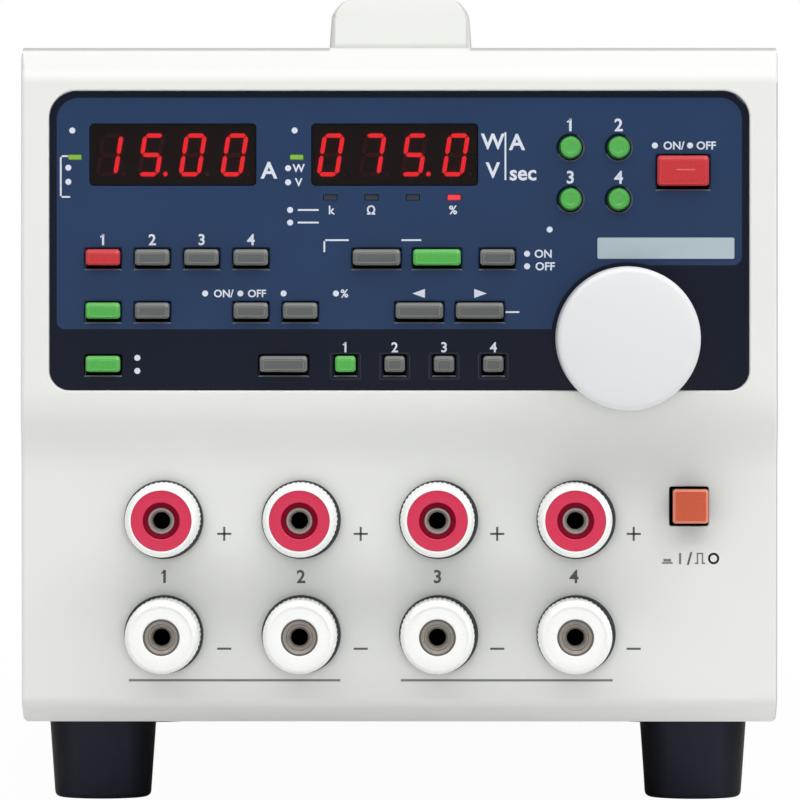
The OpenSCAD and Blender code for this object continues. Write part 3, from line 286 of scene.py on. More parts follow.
# Translucent key plastics, paler copies on their bevels as painted highlight, a rim of painted shade, and
# black as painted shade in the gaps under the film
KEY_FACES = {"key_grey": key_plastic("key_polycarbonate_grey", "5E5F60", 0.32, 0.02),
             "key_green": key_plastic("key_polycarbonate_green", "4CA048", glow=("55C850", 0.12)),
             "key_red": key_plastic("key_polycarbonate_red", "B92D31", glow=("E03A40", 0.12))}
KEY_BEVEL_HIGHLIGHTS = {"key_grey": key_plastic("key_bevel_highlight_grey", "7C7E79", 0.32, 0.02),
              "key_green": key_plastic("key_bevel_highlight_green", "66BE5E"),
              "key_red": key_plastic("key_bevel_highlight_red", "CE4043")}
KEY_RIM_SHADE = key_plastic("key_rim_painted_shade_green", "245A26", 0.4)
KEY_LINE = surface("key_polycarbonate_pale", "DC6E70", 0.35, relief=0.001)
SHADE_BLACK = surface("key_mask_black", "121214", 0.6, relief=0.001, specular=0.1)
# Moulded plastics of the power button, the knob and the posts, with a paler orange bevel as painted highlight
# and a darker pink as painted shade
BUTTON = surface("abs_orange", "CE5A3B", 0.24, relief=0.002, mottle=0.02)
BUTTON_BEVEL_HIGHLIGHT = surface("abs_orange_painted_highlight", "E8856A", 0.24, relief=0.002, mottle=0.02)
KNOB_WHITE = surface("abs_satin_white", "E4E5E7", 0.36, relief=0.003, mottle=0.006)
POST_WHITE = surface("polyamide_white", "FBFCFA", 0.3, grain=0.5, relief=0.003, mottle=0.01)
POST_PINK = surface("polyamide_pink", "D93054", 0.32, relief=0.003)
POST_PINK_SHADE = surface("polyamide_pink_painted_shade", "780622", 0.6, relief=0.003, specular=0.05)
COLLAR = surface("phenolic_black", "33393D", 0.4, grain=0.5)
# Rubber-like strap and smooth black feet, whose colour paints their shading
STRAP = surface("pvc_strap_grey", "C4C6C2", 0.55, grain=0.8, relief=0.02)
FOOT = surface("abs_gloss_black", foot_painted_shading, 0.4, grain=1.5, relief=0.0, spread=0.02, specular=0.05)
# Metals: the plated posts with their worn rings and bores painted near black as shade, zinc, fins and the
# transformer's core
NICKEL = surface("nickel_plated_brass", "B4ACA2", 0.26, grain=0.3, relief=0.002, stretch=(1, 0.05, 1),
                 Metallic=1.0)
RING = surface("nickel_satin_worn", "A89F99", 0.45, grain=0.3, mottle=0.06, patch=2, Metallic=0.3)
DULL_RING = surface("nickel_satin_dull", "A69E95", 0.5, grain=0.3, mottle=0.24, patch=0.9, Metallic=0.3)
DARK_RING = surface("nickel_satin_darker_outside", "645F5B", 0.5, grain=0.3, mottle=0.1, patch=1, Metallic=0.3)
BORE_SHADE = surface("bore_painted_shade_black", "0C0A0A", 0.6, grain=0.3, relief=0.002, specular=0.1)
ZINC = surface("zinc_plated_steel", "C2C5C8", 0.3, grain=0.8, relief=0.003, mottle=0.08, patch=8,
               Metallic=1.0)
ALUMINIUM = surface("extruded_aluminium", "C9CBCC", 0.34, grain=0.5, mottle=0.04, stretch=(1, 0.03, 1),
                    Metallic=1.0)
CORE = surface("varnished_lamination", "6A6865", 0.4, grain=0.5, relief=0.03, mottle=0.12,
               stretch=(1, 0.02, 0.02), Metallic=0.8)
# Board laminate, moulded parts and dark plastics inside
BOARD = surface("solder_mask_green", "14603A", 0.28, grain=0.6, relief=0.006, mottle=0.12, patch=5)
PART_BLACK = surface("moulded_part_black", "26262A", 0.45, grain=0.5, relief=0.006)
MODULE = surface("module_case_black", "5A484A", 0.55)


# Pieces


def linked(name, data):
    """A new object in the scene."""
    obj = bpy.data.objects.new(name, data)
    bpy.context.scene.collection.objects.link(obj)
    return obj


def piece(name, bm, look, body, slot, smooth=32, extra=()):
    """Turns a bmesh into a shaded piece that rides on a body. Edges under smooth degrees are shaded
    smooth, and extra holds the materials after the first."""
    for f in bm.faces:
        f.smooth = True
    for e in bm.edges:
        e.smooth = len(e.link_faces) == 2 and e.calc_face_angle(0) < math.radians(smooth)
    mesh = bpy.data.meshes.new(name)
    bm.to_mesh(mesh)
    bm.free()
    for layer in ("custom_normal", "UVMap"):
        if layer in mesh.attributes:
            mesh.attributes.remove(mesh.attributes[layer])
    for m in (look, *extra):
        mesh.materials.append(m)
    obj = linked(name, mesh)
    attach(obj, body)
    return obj


def settle(obj):
    """Bakes an object's modifiers into its mesh."""
    bpy.context.view_layer.update()
    graph = bpy.context.evaluated_depsgraph_get()
    mesh = bpy.data.meshes.new_from_object(obj.evaluated_get(graph), depsgraph=graph)
    obj.modifiers.clear()
    obj.data = mesh
    return obj


def even_normals(obj):
    """Keeps large flat faces flat where they meet rounded edges."""
    fix = obj.modifiers.new("even", "WEIGHTED_NORMAL")
    fix.keep_sharp = True
    fix.weight = 80
    return settle(obj)


def stand_in(node, name, bm, look, slot, even=True, **more):
    """A piece that rides on a CAD node's body and takes the node's place."""
    obj = piece(name, bm, look, NODES[node]["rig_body"], slot, **more)
    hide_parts(node)
    return even_normals(obj) if even else obj


def solid_of(node):
    """A CAD node's surface, with its seams welded and its flat faces joined."""
    bm = bmesh.new()
    bm.from_mesh(NODES[node].data)
    bmesh.ops.remove_doubles(bm, verts=bm.verts, dist=1e-6)
    bmesh.ops.dissolve_limit(bm, angle_limit=math.radians(0.3), verts=bm.verts, edges=bm.edges)
    for f in bm.faces:
        f.material_index = 0
    return bm


def middle(edge):
    return (edge.verts[0].co + edge.verts[1].co) / 2


def soften(bm, width, chosen=None, segments=2):
    """Rounds the chosen steep edges by a width in mm and returns the new faces."""
    edges = [e for e in bm.edges if len(e.link_faces) == 2
             and e.calc_face_angle(0) > STEEP and (chosen is None or chosen(middle(e)))]
    if not edges:
        return []
    return bmesh.ops.bevel(bm, geom=edges, offset=width * MM, offset_type="OFFSET", segments=segments,
                           profile=0.5, affect="EDGES", clamp_overlap=False)["faces"]


def islands(bm):
    """The separate solids of a mesh, as lists of faces."""
    left, found = set(bm.faces), []
    while left:
        stack = [left.pop()]
        group = []
        while stack:
            f = stack.pop()
            group.append(f)
            for e in f.edges:
                for other in e.link_faces:
                    if other in left:
                        left.remove(other)
                        stack.append(other)
        found.append(group)
    return found


def softened(node, name, look, slot, width, extra=(), pick=None, segments=2):
    """A copy of a node with rounded edges that stands for it. pick(centre, size) of a solid, in mm, gives
    the number of its material."""
    bm = solid_of(node)
    soften(bm, width, segments=segments)
    if pick:
        for group in islands(bm):
            points = [v.co for f in group for v in f.verts]
            low = Vector(min(p[i] for p in points) for i in range(3))
            high = Vector(max(p[i] for p in points) for i in range(3))
            number = pick((low + high) / 2 / MM, (high - low) / MM)
            for f in group:
                f.material_index = number
    return stand_in(node, name, bm, look, slot, extra=extra)


def arc_corners(points, steps=8):
    """A 2D outline from (a, b, corner radius), with its corners rounded."""
    out = []
    count = len(points)
    for i, (a, b, r) in enumerate(points):
        here = Vector((a, b))
        if not r:
            out.append(here)
            continue
        before = (Vector(points[i - 1][:2]) - here).normalized()
        after = (Vector(points[(i + 1) % count][:2]) - here).normalized()
        half = before.angle(after) / 2
        centre = here + (before + after).normalized() * r / math.sin(half)
        start = here + before * r / math.tan(half) - centre
        sweep = start.angle_signed(here + after * r / math.tan(half) - centre)
        for k in range(steps + 1):
            out.append(centre + Matrix.Rotation(-sweep * k / steps, 2) @ start)
    return out


def lathe(profile, x, depth, z, count, bm=None):
    """A turned solid from a closed profile of (radius, height), in mm. Its axis points out of the front from
    the given place."""
    bm = bm or bmesh.new()
    centre = place(x, depth, z)
    rings = []
    for r, h in profile:
        ring = []
        for k in range(count if r > 1e-6 else 1):
            a = 2 * math.pi * k / count
            ring.append(bm.verts.new(centre + Vector((r * math.cos(a), -h, r * math.sin(a))) * MM))
        rings.append(ring)
    for a, b in zip(rings, rings[1:] + rings[:1]):
        if len(a) == 1 and len(b) == 1:
            continue
        for k in range(count):
            n = (k + 1) % count
            corners = [a[k % len(a)], a[n % len(a)], b[n % len(b)], b[k % len(b)]]
            bm.faces.new(list(dict.fromkeys(corners)))
    bmesh.ops.recalc_face_normals(bm, faces=bm.faces)
    return bm


def prism(bm, outline, depth, thickness):
    """A flat closed solid from an outline in x and z. Its face stands at a depth."""
    front = [bm.verts.new(place(x, depth, z)) for x, z in outline]
    back = [bm.verts.new(place(x, depth + thickness, z)) for x, z in outline]
    faces = [bm.faces.new(front), bm.faces.new(back[::-1])]
    for i in range(len(front)):
        n = (i + 1) % len(front)
        faces.append(bm.faces.new([front[i], back[i], back[n], front[n]]))
    bmesh.ops.recalc_face_normals(bm, faces=faces)


def box_outline(left, bottom, right, top, r):
    corners = [(left, bottom, r), (right, bottom, r), (right, top, r), (left, top, r)]
    return [(p.x, p.y) for p in arc_corners(corners, 4)]


def round_outline(x, z, across, up, count):
    turns = [2 * math.pi * k / count for k in range(count)]
    return [(x + across * math.cos(a), z + up * math.sin(a)) for a in turns]


def stroke(x0, z0, x1, z1, width):
    """The outline of a straight line of a width."""
    along = Vector((x1 - x0, z1 - z0)).normalized() * width / 2
    across = Vector((-along.y, along.x))
    a, b = Vector((x0, z0)) - along, Vector((x1, z1)) + along
    return [(p.x, p.y) for p in (a + across, a - across, b - across, b + across)]


def path_strokes(points, width):
    return [stroke(*a, *b, width) for a, b in zip(points, points[1:])]


def printed(name, outlines, look, depth, slot):
    """Thin closed solids from flat outlines, on a face of the case."""
    bm = bmesh.new()
    for outline in outlines:
        prism(bm, outline, depth - INK_HEIGHT, INK_HEIGHT + INK_DEPTH)
    return piece(name, bm, look, CASE, slot)


def lettering(name, items, look, depth, slot):
    """Figures and signs as thin closed solids. items holds (text, x, z, height), centred, in mm."""
    capital, bolder = 0.72, 0.022
    bm = bmesh.new()
    for text, x, z, height in items:
        curve = bpy.data.curves.new(name, "FONT")
        curve.body = text
        curve.extrude = 0.5
        curve.offset = bolder
        curve.resolution_u = 3
        temp = linked(name, curve)
        bpy.context.view_layer.update()
        mesh = bpy.data.meshes.new_from_object(temp)
        bpy.data.objects.remove(temp)
        low = [min(v.co[i] for v in mesh.vertices) for i in (0, 1)]
        high = [max(v.co[i] for v in mesh.vertices) for i in (0, 1)]
        scale = height / capital
        for v in mesh.vertices:
            u = (v.co.x - (low[0] + high[0]) / 2) * scale
            w = (v.co.y - (low[1] + high[1]) / 2) * scale
            v.co = place(x + u, depth - INK_HEIGHT if v.co.z > 0 else depth + INK_DEPTH, z + w)
        bm.from_mesh(mesh)
        bpy.data.meshes.remove(mesh)
    bmesh.ops.remove_doubles(bm, verts=bm.verts, dist=1e-7)
    bmesh.ops.recalc_face_normals(bm, faces=bm.faces)
    return piece(name, bm, look, CASE, slot)


def flags(items):
    """The short upstroke of each figure 1."""
    return [stroke(x - 0.02 * h, z + 0.42 * h, x - 0.21 * h, z + 0.25 * h, 0.11 * h)
            for text, x, z, h in items if text == "1"]


# Patterns made by geometry nodes


def new_tree(name, inputs):
    tree = bpy.data.node_groups.new(name, "GeometryNodeTree")
    tree.interface.new_socket("Geometry", in_out="INPUT", socket_type="NodeSocketGeometry")
    tree.interface.new_socket("Geometry", in_out="OUTPUT", socket_type="NodeSocketGeometry")
    for label, kind in inputs.items():
        tree.interface.new_socket(label, in_out="INPUT", socket_type=kind)
    return tree, add(tree, "NodeGroupInput").outputs


def close_tree(tree, geometry, look, smooth=True):
    """Ends a tree in real geometry with a material."""
    real = add(tree, "GeometryNodeRealizeInstances", {0: geometry}).outputs[0]
    shaded = add(tree, "GeometryNodeSetShadeSmooth", {0: real, "Shade Smooth": smooth}).outputs[0]
    done = add(tree, "GeometryNodeSetMaterial", {"Geometry": shaded, "Material": look}).outputs[0]
    add(tree, "NodeGroupOutput", {"Geometry": done})
    return tree


def on_points(tree, points, instance, **inputs):
    return add(tree, "GeometryNodeInstanceOnPoints",
               {"Points": points, "Instance": instance, **inputs}).outputs[0]


def grown(name, points, tree, sizes, body):
    """Runs a tree on loose points and keeps its result as a plain mesh on a body."""
    mesh = bpy.data.meshes.new(name)
    mesh.from_pydata([tuple(p) for p in points], [], [])
    obj = linked(name, mesh)
    grow = obj.modifiers.new("grow", "NODES")
    grow.node_group = tree
    for socket in tree.interface.items_tree:
        if socket.in_out == "INPUT" and socket.name in sizes:
            grow[socket.identifier] = sizes[socket.name]
    settle(obj)
    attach(obj, body)
    return obj


# Turns what stands on a point so that it points out of the front
FORWARD = (math.pi / 2, 0, 0)


def knurl_tree():
    """A ring of ribs with rounded ends, which point out of the front from each point."""
    tree, given = new_tree("knurl", {"Ribs": "NodeSocketInt", "Ring Radius": "NodeSocketFloat",
                                     "Rib Radius": "NodeSocketFloat", "Length": "NodeSocketFloat"})
    tip = add(tree, "ShaderNodeCombineXYZ", {"Z": given["Length"]}).outputs[0]
    line = add(tree, "GeometryNodeCurvePrimitiveLine", {"End": tip}).outputs[0]
    line = add(tree, "GeometryNodeResampleCurve", {"Curve": line, "Count": 33}).outputs[0]
    factor = add(tree, "GeometryNodeSplineParameter").outputs["Factor"]
    off = away_from(tree, math_node(tree, "MULTIPLY", factor, 2.0), 1.0)
    shape = math_node(tree, "SQRT", math_node(tree, "SUBTRACT", 1.02, math_node(tree, "POWER", off, 24.0)))
    section = add(tree, "GeometryNodeCurvePrimitiveCircle",
                  {"Resolution": 12, "Radius": given["Rib Radius"]}).outputs[0]
    rib = add(tree, "GeometryNodeCurveToMesh",
              {"Curve": line, "Profile Curve": section, "Scale": shape, "Fill Caps": True}).outputs[0]
    ring = add(tree, "GeometryNodeMeshCircle",
               {"Vertices": given["Ribs"], "Radius": given["Ring Radius"]}).outputs[0]
    whole = on_points(tree, given["Geometry"], on_points(tree, ring, rib), Rotation=FORWARD)
    return close_tree(tree, whole, POST_WHITE)


def dot_tree(look):
    """A thin round dot on each point, facing the front."""
    tree, given = new_tree("dots", {"Radius": "NodeSocketFloat", "Thickness": "NodeSocketFloat"})
    disc = add(tree, "GeometryNodeMeshCylinder",
               {"Vertices": 24, "Radius": given["Radius"], "Depth": given["Thickness"]}).outputs[0]
    dots = on_points(tree, given["Geometry"], disc, Rotation=FORWARD)
    return close_tree(tree, dots, look, False)


# The bezel and the film


def bezel():
    """Rounded sides, a fine rim round the panel's recess, small rims round the holes, and grey painted shade
    on the top edge, which leaves out the handle's width, and on the right side."""
    bm = solid_of("front_panel")
    low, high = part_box("control_overlay")
    back, near = 17.9, 0.05
    button_left, button_right = 53, 62.4

    def side(p):
        return abs(p.x) > (HALF_WIDTH - near) * MM and depth_of(p) < back

    def recess(p):
        return abs(depth_of(p)) < near and abs(p.x) < high.x + 0.3 * MM \
            and low.z - 0.3 * MM < p.z < high.z + 0.3 * MM

    def holes(p):
        return abs(depth_of(p) - TERMINALS) < near and abs(p.x) < 70 * MM and 22 < height_of(p) < 66

    def button_corner(p):
        return 4.2 < depth_of(p) < 6.4 and button_left < p.x / MM < button_right \
            and 54 < height_of(p) < 63.6

    def button_rim(p):
        return holes(p) and button_left < p.x / MM < button_right

    def post_rims(p):
        return holes(p) and not button_rim(p)

    for width, chosen, segments in ((0.9, side, 4), (0.4, recess, 3), (0.4, button_corner, 3),
                                    (0.26, button_rim, 2), (0.15, post_rims, 2)):
        soften(bm, width, chosen, segments)
    # The top corners are nearly square, the sides grow out downwards, and the brow rises and widens backwards
    corner, brow = HALF_WIDTH * MM, 149
    for v in bm.verts:
        up = height_of(v.co)
        if up > 148.7 and abs(v.co.x) > 73.7 * MM:
            v.co.x = math.copysign(corner - 0.4 * (corner - abs(v.co.x)), v.co.x)
        elif abs(v.co.x) > 72 * MM:
            v.co.x += math.copysign(0.13 + 0.2 * clamp((90 - up) / 15), v.co.x) * MM
        v.co.x *= 1 + clamp((up - 138) / 11) * max(depth_of(v.co), 0) / 1500
        v.co.z += max(up - brow, 0) * 0.4 * MM
    grey_from, gap_middle, gap_half = 149.75, 0.1, 14
    for x, z, way in ((0, grey_from, (0, 0, 1)), (gap_middle - gap_half, 0, (1, 0, 0)),
                      (gap_middle + gap_half, 0, (1, 0, 0))):
        faces = [f for f in bm.faces if height_of(f.calc_center_median()) > brow and f.normal.y < -0.1]
        around = [v for f in faces for v in f.verts] + [e for f in faces for e in f.edges] + faces
        bmesh.ops.bisect_plane(bm, geom=list(dict.fromkeys(around)), plane_co=place(x, 0, z), plane_no=way)
    # Faces on the top edge outside the handle's width, and on the right side, get a greyer copy: painted
    # shade along the edges.
    for f in bm.faces:
        where = f.calc_center_median()
        top = height_of(where) > grey_from and abs(where.x / MM - gap_middle) > gap_half and f.normal.y < -0.1
        right = height_of(where) < 142 and f.normal.x > 0.8 and f.normal.y < -0.05
        f.material_index = int(top or right)
    stand_in("front_panel", "bezel", bm, BEZEL, "bezel_plastic", smooth=40, extra=(BEZEL_EDGE_SHADE,))


def overlay():
    """The film with a fine chamfer round its key openings. Its pale cut edge is given to the chamfer faces
    turned up and to the knob hole's right side: partly the edge's own colour, partly painted highlight.
    """
    bm = solid_of("control_overlay")
    low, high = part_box("control_overlay")

    def rim(p):
        within = low.x + MM < p.x < high.x - MM and low.z + MM < p.z < high.z - MM
        lamp = p.x < 22 * MM and height_of(p) > 116
        return abs(depth_of(p) - OVERLAY) < 0.05 and within and not lamp

    for f in soften(bm, 0.28, rim, 1):
        knob_hole = 30 * MM < f.calc_center_median().x < 49 * MM
        # Chamfer faces turned up, and the knob hole's right side, take the pale edge: partly its own colour,
        # partly painted highlight.
        if f.normal.z > 0.3 or (knob_hole and f.normal.x < -0.35):
            f.material_index = 1
    stand_in("control_overlay", "printed_overlay", bm, FILM, "overlay_film", even=False, extra=(FILM_EDGE_HIGHLIGHT,))


# Displays and lamps


# The segments that each figure lights
SEGMENTS = {"0": "abcdef", "1": "bc", "5": "acdfg", "7": "abc"}


def segment_outlines(x, z):
    """The seven slanted segments of a digit centred on x and z. a and b are half its width and height, and
    h is half a segment's width."""
    a, b, h, gap, slant = 2.2, 4.27, 0.42, 0.12, math.tan(math.radians(9))

    def level(v):
        reach = a - h - gap
        return [(-reach, v), (h - reach, v + h), (reach - h, v + h), (reach, v), (reach - h, v - h),
                (h - reach, v - h)]

    def upright(u, v0, v1):
        return [(u, v0), (u + h, v0 + h), (u + h, v1 - h), (u, v1), (u - h, v1 - h), (u - h, v0 + h)]

    top = b - h
    shapes = {"a": level(top), "g": level(0), "d": level(-top),
              "b": upright(a - h, gap, top - gap), "f": upright(h - a, gap, top - gap),
              "c": upright(a - h, gap - top, -gap), "e": upright(h - a, gap - top, -gap)}
    return {k: [(x + u + slant * v, z + v) for u, v in shape] for k, shape in shapes.items()}


def displays():
    """Two lit displays of four figures and their points, behind dark windows."""
    lit, unlit = bmesh.new(), bmesh.new()
    face, thickness, pitch, middle_z, point_z, dot = 5.1, 0.19, 8.3, 128.9, 125.1, 0.45
    for window, figures, point in ((-45.0, "1500", 1), (-0.9, "0750", 2)):
        for i, figure in enumerate(figures):
            x = window + (i - 1.5) * pitch
            for key, outline in segment_outlines(x - 0.3, middle_z).items():
                prism(lit if key in SEGMENTS[figure] else unlit, outline, face, thickness)
            prism(lit if i == point else unlit, round_outline(x + 2.55, point_z, dot, dot, 16), face,
                  thickness)
    piece("lit_segments", lit, SEGMENT_LIT, CASE, "lamp_epoxy")
    piece("unlit_segments", unlit, SEGMENT_DARK, CASE, "module_plastic")
    panes = softened("display_windows", "display_windows_acrylic", WINDOW, "smoked_window", 0.12,
                     extra=(SHADE_BLACK,))
    # The panes' sides are black: painted shade.
    for f in panes.data.polygons:
        if abs(f.normal.y) < 0.95:
            f.material_index = 1


def lamps():
    """Lamp bars: green beside the windows, and one red among the four mode lamps."""
    green, dark, red = range(3)

    def pick(centre, _):
        if centre.z - LEVEL / MM > 125:
            return green
        return red if centre.x > 8 else dark

    softened("indicator_lamps", "lamp_bars", LAMP_GREEN, "lamp_epoxy", 0.15, extra=(LAMP_DARK, LAMP_RED),
             pick=pick)


# Keys


def keys():
    """The square keys have a flat face inside a bevel, paler as painted highlight. The four channel keys are
    round, with a dark rim of painted shade. Faces deep under the film are black as painted shade.
    """
    plain, shaded_black, edge = range(3)
    shoulder = 3.9
    slots = {s["node"]: s["material_slot"] for s in frame["record"]["subparts"]}
    for node in sorted(n for n in NODES if n.startswith("key_") and n != "key_switches"):
        bm = solid_of(node)
        x, z = middle_of(node)
        face = min(depth_of(v.co) for v in bm.verts)

        def front(p):
            return depth_of(p) < OVERLAY - 0.3

        def corner(p):
            return face + 0.1 < depth_of(p) < shoulder and abs(depth_of(p) - 0.1) > 0.05

        if node.startswith("key_channel"):
            bevel = KEY_RIM_SHADE
            soften(bm, 0.14, front)
            # Outside a disc set a little right and up, the rim is dark green: painted shade, widest at the
            # lower left.
            for f in bm.faces:
                if (f.calc_center_median() - place(x + 0.1, 0, z + 0.05)).xz.length > 2.08 * MM:
                    f.material_index = edge
        else:
            # The bevels take a paler copy of the key's colour: painted highlight.
            bevel = KEY_BEVEL_HIGHLIGHTS[slots[node]]
            for v in bm.verts:
                if depth_of(v.co) < shoulder:
                    v.co.x += math.copysign(0.1 * MM, v.co.x / MM - x)
                    v.co.z += 0.1 * MM if height_of(v.co) > z else 0
            soften(bm, 0.55, corner, 4)
            top = [f for f in bm.faces
                   if f.normal.y < -0.99 and abs(depth_of(f.calc_center_median()) - face) < 0.02]
            for f in bm.faces:
                f.material_index = edge
            for f in top:
                f.material_index = plain
            for f in bmesh.ops.inset_region(bm, faces=top, thickness=0.3 * MM, depth=-0.12 * MM)["faces"]:
                f.material_index = edge
            soften(bm, 0.14, front)
        # Faces deep behind the film are black: painted shade in the gaps round the keys.
        for f in bm.faces:
            if depth_of(f.calc_center_median()) > OVERLAY + 0.5:
                f.material_index = shaded_black
        stand_in(node, node + "_cap", bm, KEY_FACES[slots[node]], slots[node], smooth=40,
                 extra=(SHADE_BLACK, bevel))
    x, z = middle_of("key_main_input")
    face = depth_of(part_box("key_main_input")[0])
    line = bmesh.new()
    prism(line, stroke(x - 1.2, z + 0.5, x + 2.2, z + 0.5, 0.25), face + 0.1, 0.1)
    piece("main_key_line", line, KEY_LINE, "key_main_input", "key_red")


def key_frames():
    """The outlines of the dark frames printed round the small memory keys."""
    outlines = []
    for node in sorted(n for n in NODES if n.startswith("key_memory_")):
        low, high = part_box(node)
        left, right = low.x / MM - 0.55, high.x / MM + 0.55
        bottom, top = height_of(low) - 0.5, height_of(high) + 0.15
        outlines += path_strokes([(left, bottom), (right, bottom), (right, top), (left, top),
                                  (left, bottom)], 0.25)
    return outlines


# Knob and posts


def knob():
    """A hollow cap with a slightly domed face, on a steel shaft."""
    r, length, wall, hub, shaft, bore, behind = 14.3, 16.0, 1.8, 5.5, 3, 11, -1
    rings, sag = 6, 1.0
    dome = [(u * (r - 1.5) / rings, length - sag * (u / rings) ** 2, 0) for u in range(rings)]
    profile = arc_corners(dome + [(r - 0.2, length - 1.2, 1.4), (r, 0, 0.4), (r - wall, 0, 0.2),
                                  (r - wall, length - 2.4, 1.2), (hub, length - 2.4, 1), (hub, 0.5, 0.2),
                                  (shaft, 0.5, 0), (shaft, bore, 0), (0, bore, 0)])
    stand_in("setting_knob", "setting_knob_cap", lathe(profile, KNOB[0], behind, KNOB[1], 160), KNOB_WHITE,
             "knob_plastic", even=False, smooth=50)
    rod = [(0, bore), (shaft, bore), (shaft, -9), (2.6, -9.4), (0, -9.4)]
    piece("setting_knob_shaft", lathe(rod, KNOB[0], behind, KNOB[1], 64), ZINC, "setting_knob", "zinc_steel")


def posts():
    """Each cap is a white shell with ribs, an insert in its face and a dark mouth round the stud. The pink
    caps' mouth is a darker pink as painted shade, and the bore is painted near black as shade.
    """
    r, length, seat, hole, insert_r = 7.38, 17.0, 2.3, 3.05, 6.25
    core, floor = r - 0.16, length - 2
    shell = arc_corners([(hole, 0, 0), (core - 0.4, 0, 0), (core, 0.5, 0), (core, length - 4.4, 0),
                         (r - 0.1, length - 4.0, 0.2), (r - 0.1, length - 2.2, 1.6),
                         (insert_r + 0.35, length, 0.8), (insert_r, length, 0.1), (insert_r, floor, 0),
                         (hole, floor, 0)])
    insert = arc_corners([(3.4, floor, 0), (insert_r, floor, 0), (insert_r, length - 0.1, 0.25),
                          (3.75, length - 0.1, 0.3), (3.4, length - 0.6, 0)])
    mouth = [(hole, length - 1.4), (3.39, length - 1.4), (3.65, length - 0.28), (3.5, length - 0.25),
             (3.22, length - 0.387), (2.62, length - 0.68), (2.62, length - 0.75), (hole, length - 0.78)]
    stud = [(0, -14.2), (3, -14.2), (3, 15.8), (2.5, 16.2), (2.2, 16.15), (1.75, 15.4), (1.66, 12.5),
            (1.66, 1.2), (0, 0)]
    rib_sizes = {"Ribs": 46, "Ring Radius": (r - 0.38) * MM, "Rib Radius": 0.36 * MM, "Length": 12.4 * MM}
    ribs = knurl_tree()
    studs = bmesh.new()
    axes = []
    for node in sorted(n for n in NODES if n.startswith("post_cap_")):
        x, z = middle_of(node)
        axes.append((x, z))
        positive = node.endswith("positive")
        stand_in(node, node + "_shell", lathe(shell, x, seat, z, 144), POST_WHITE, "post_plastic",
                 even=False, smooth=45)
        piece(node + "_insert", lathe(insert, x, seat, z, 96), POST_PINK if positive else POST_WHITE, node,
              "post_plastic", smooth=45)
        rim = lathe(mouth, x, seat, z, 64)
        # In the white caps the mouth's outer wall takes a darker nickel.
        for f in rim.faces:
            out = (f.calc_center_median() - place(x, 0, z)).xz.length / MM
            f.material_index = int(out > 3.23 and not positive)
        # The pink caps' mouth is a darker pink: painted shade in the hollow.
        piece(node + "_mouth", rim, POST_PINK_SHADE if positive else DULL_RING, node, "post_plastic", smooth=45,
              extra=(DARK_RING,))
        grown(node + "_knurl", [place(x, seat - 0.6, z)], ribs, rib_sizes, node)
        lathe(stud, x, seat, z, 64, studs)
    ring, bore, dull = 1, 2, 3
    for f in studs.faces:
        centre = f.calc_center_median()
        out = min((centre - place(x, 0, z)).xz.length for x, z in axes) / MM
        if out < 2.9 and depth_of(centre) < seat - 12.5:
            f.material_index = ring if height_of(centre) > 40 else dull
        # Inner bore faces are near black: painted shade.
        elif out < 1.7:
            f.material_index = bore
    stand_in("post_studs", "binding_studs", studs, NICKEL, "nickel_brass", even=False, smooth=40,
             extra=(RING, BORE_SHADE, DULL_RING))


def collars():
    """The black collars behind the caps, moved a little so that they show as in the picture."""
    bm = solid_of("post_bushes")
    wider, right, down_above, down_below = 1.0062, 0.18, 0.25, 0.12
    for v in bm.verts:
        v.co.x = v.co.x * wider + right * MM
        v.co.z -= (down_above if height_of(v.co) > 45 else down_below) * MM
    soften(bm, 0.2)
    stand_in("post_bushes", "post_collars", bm, COLLAR, "component_plastic")


# Printing


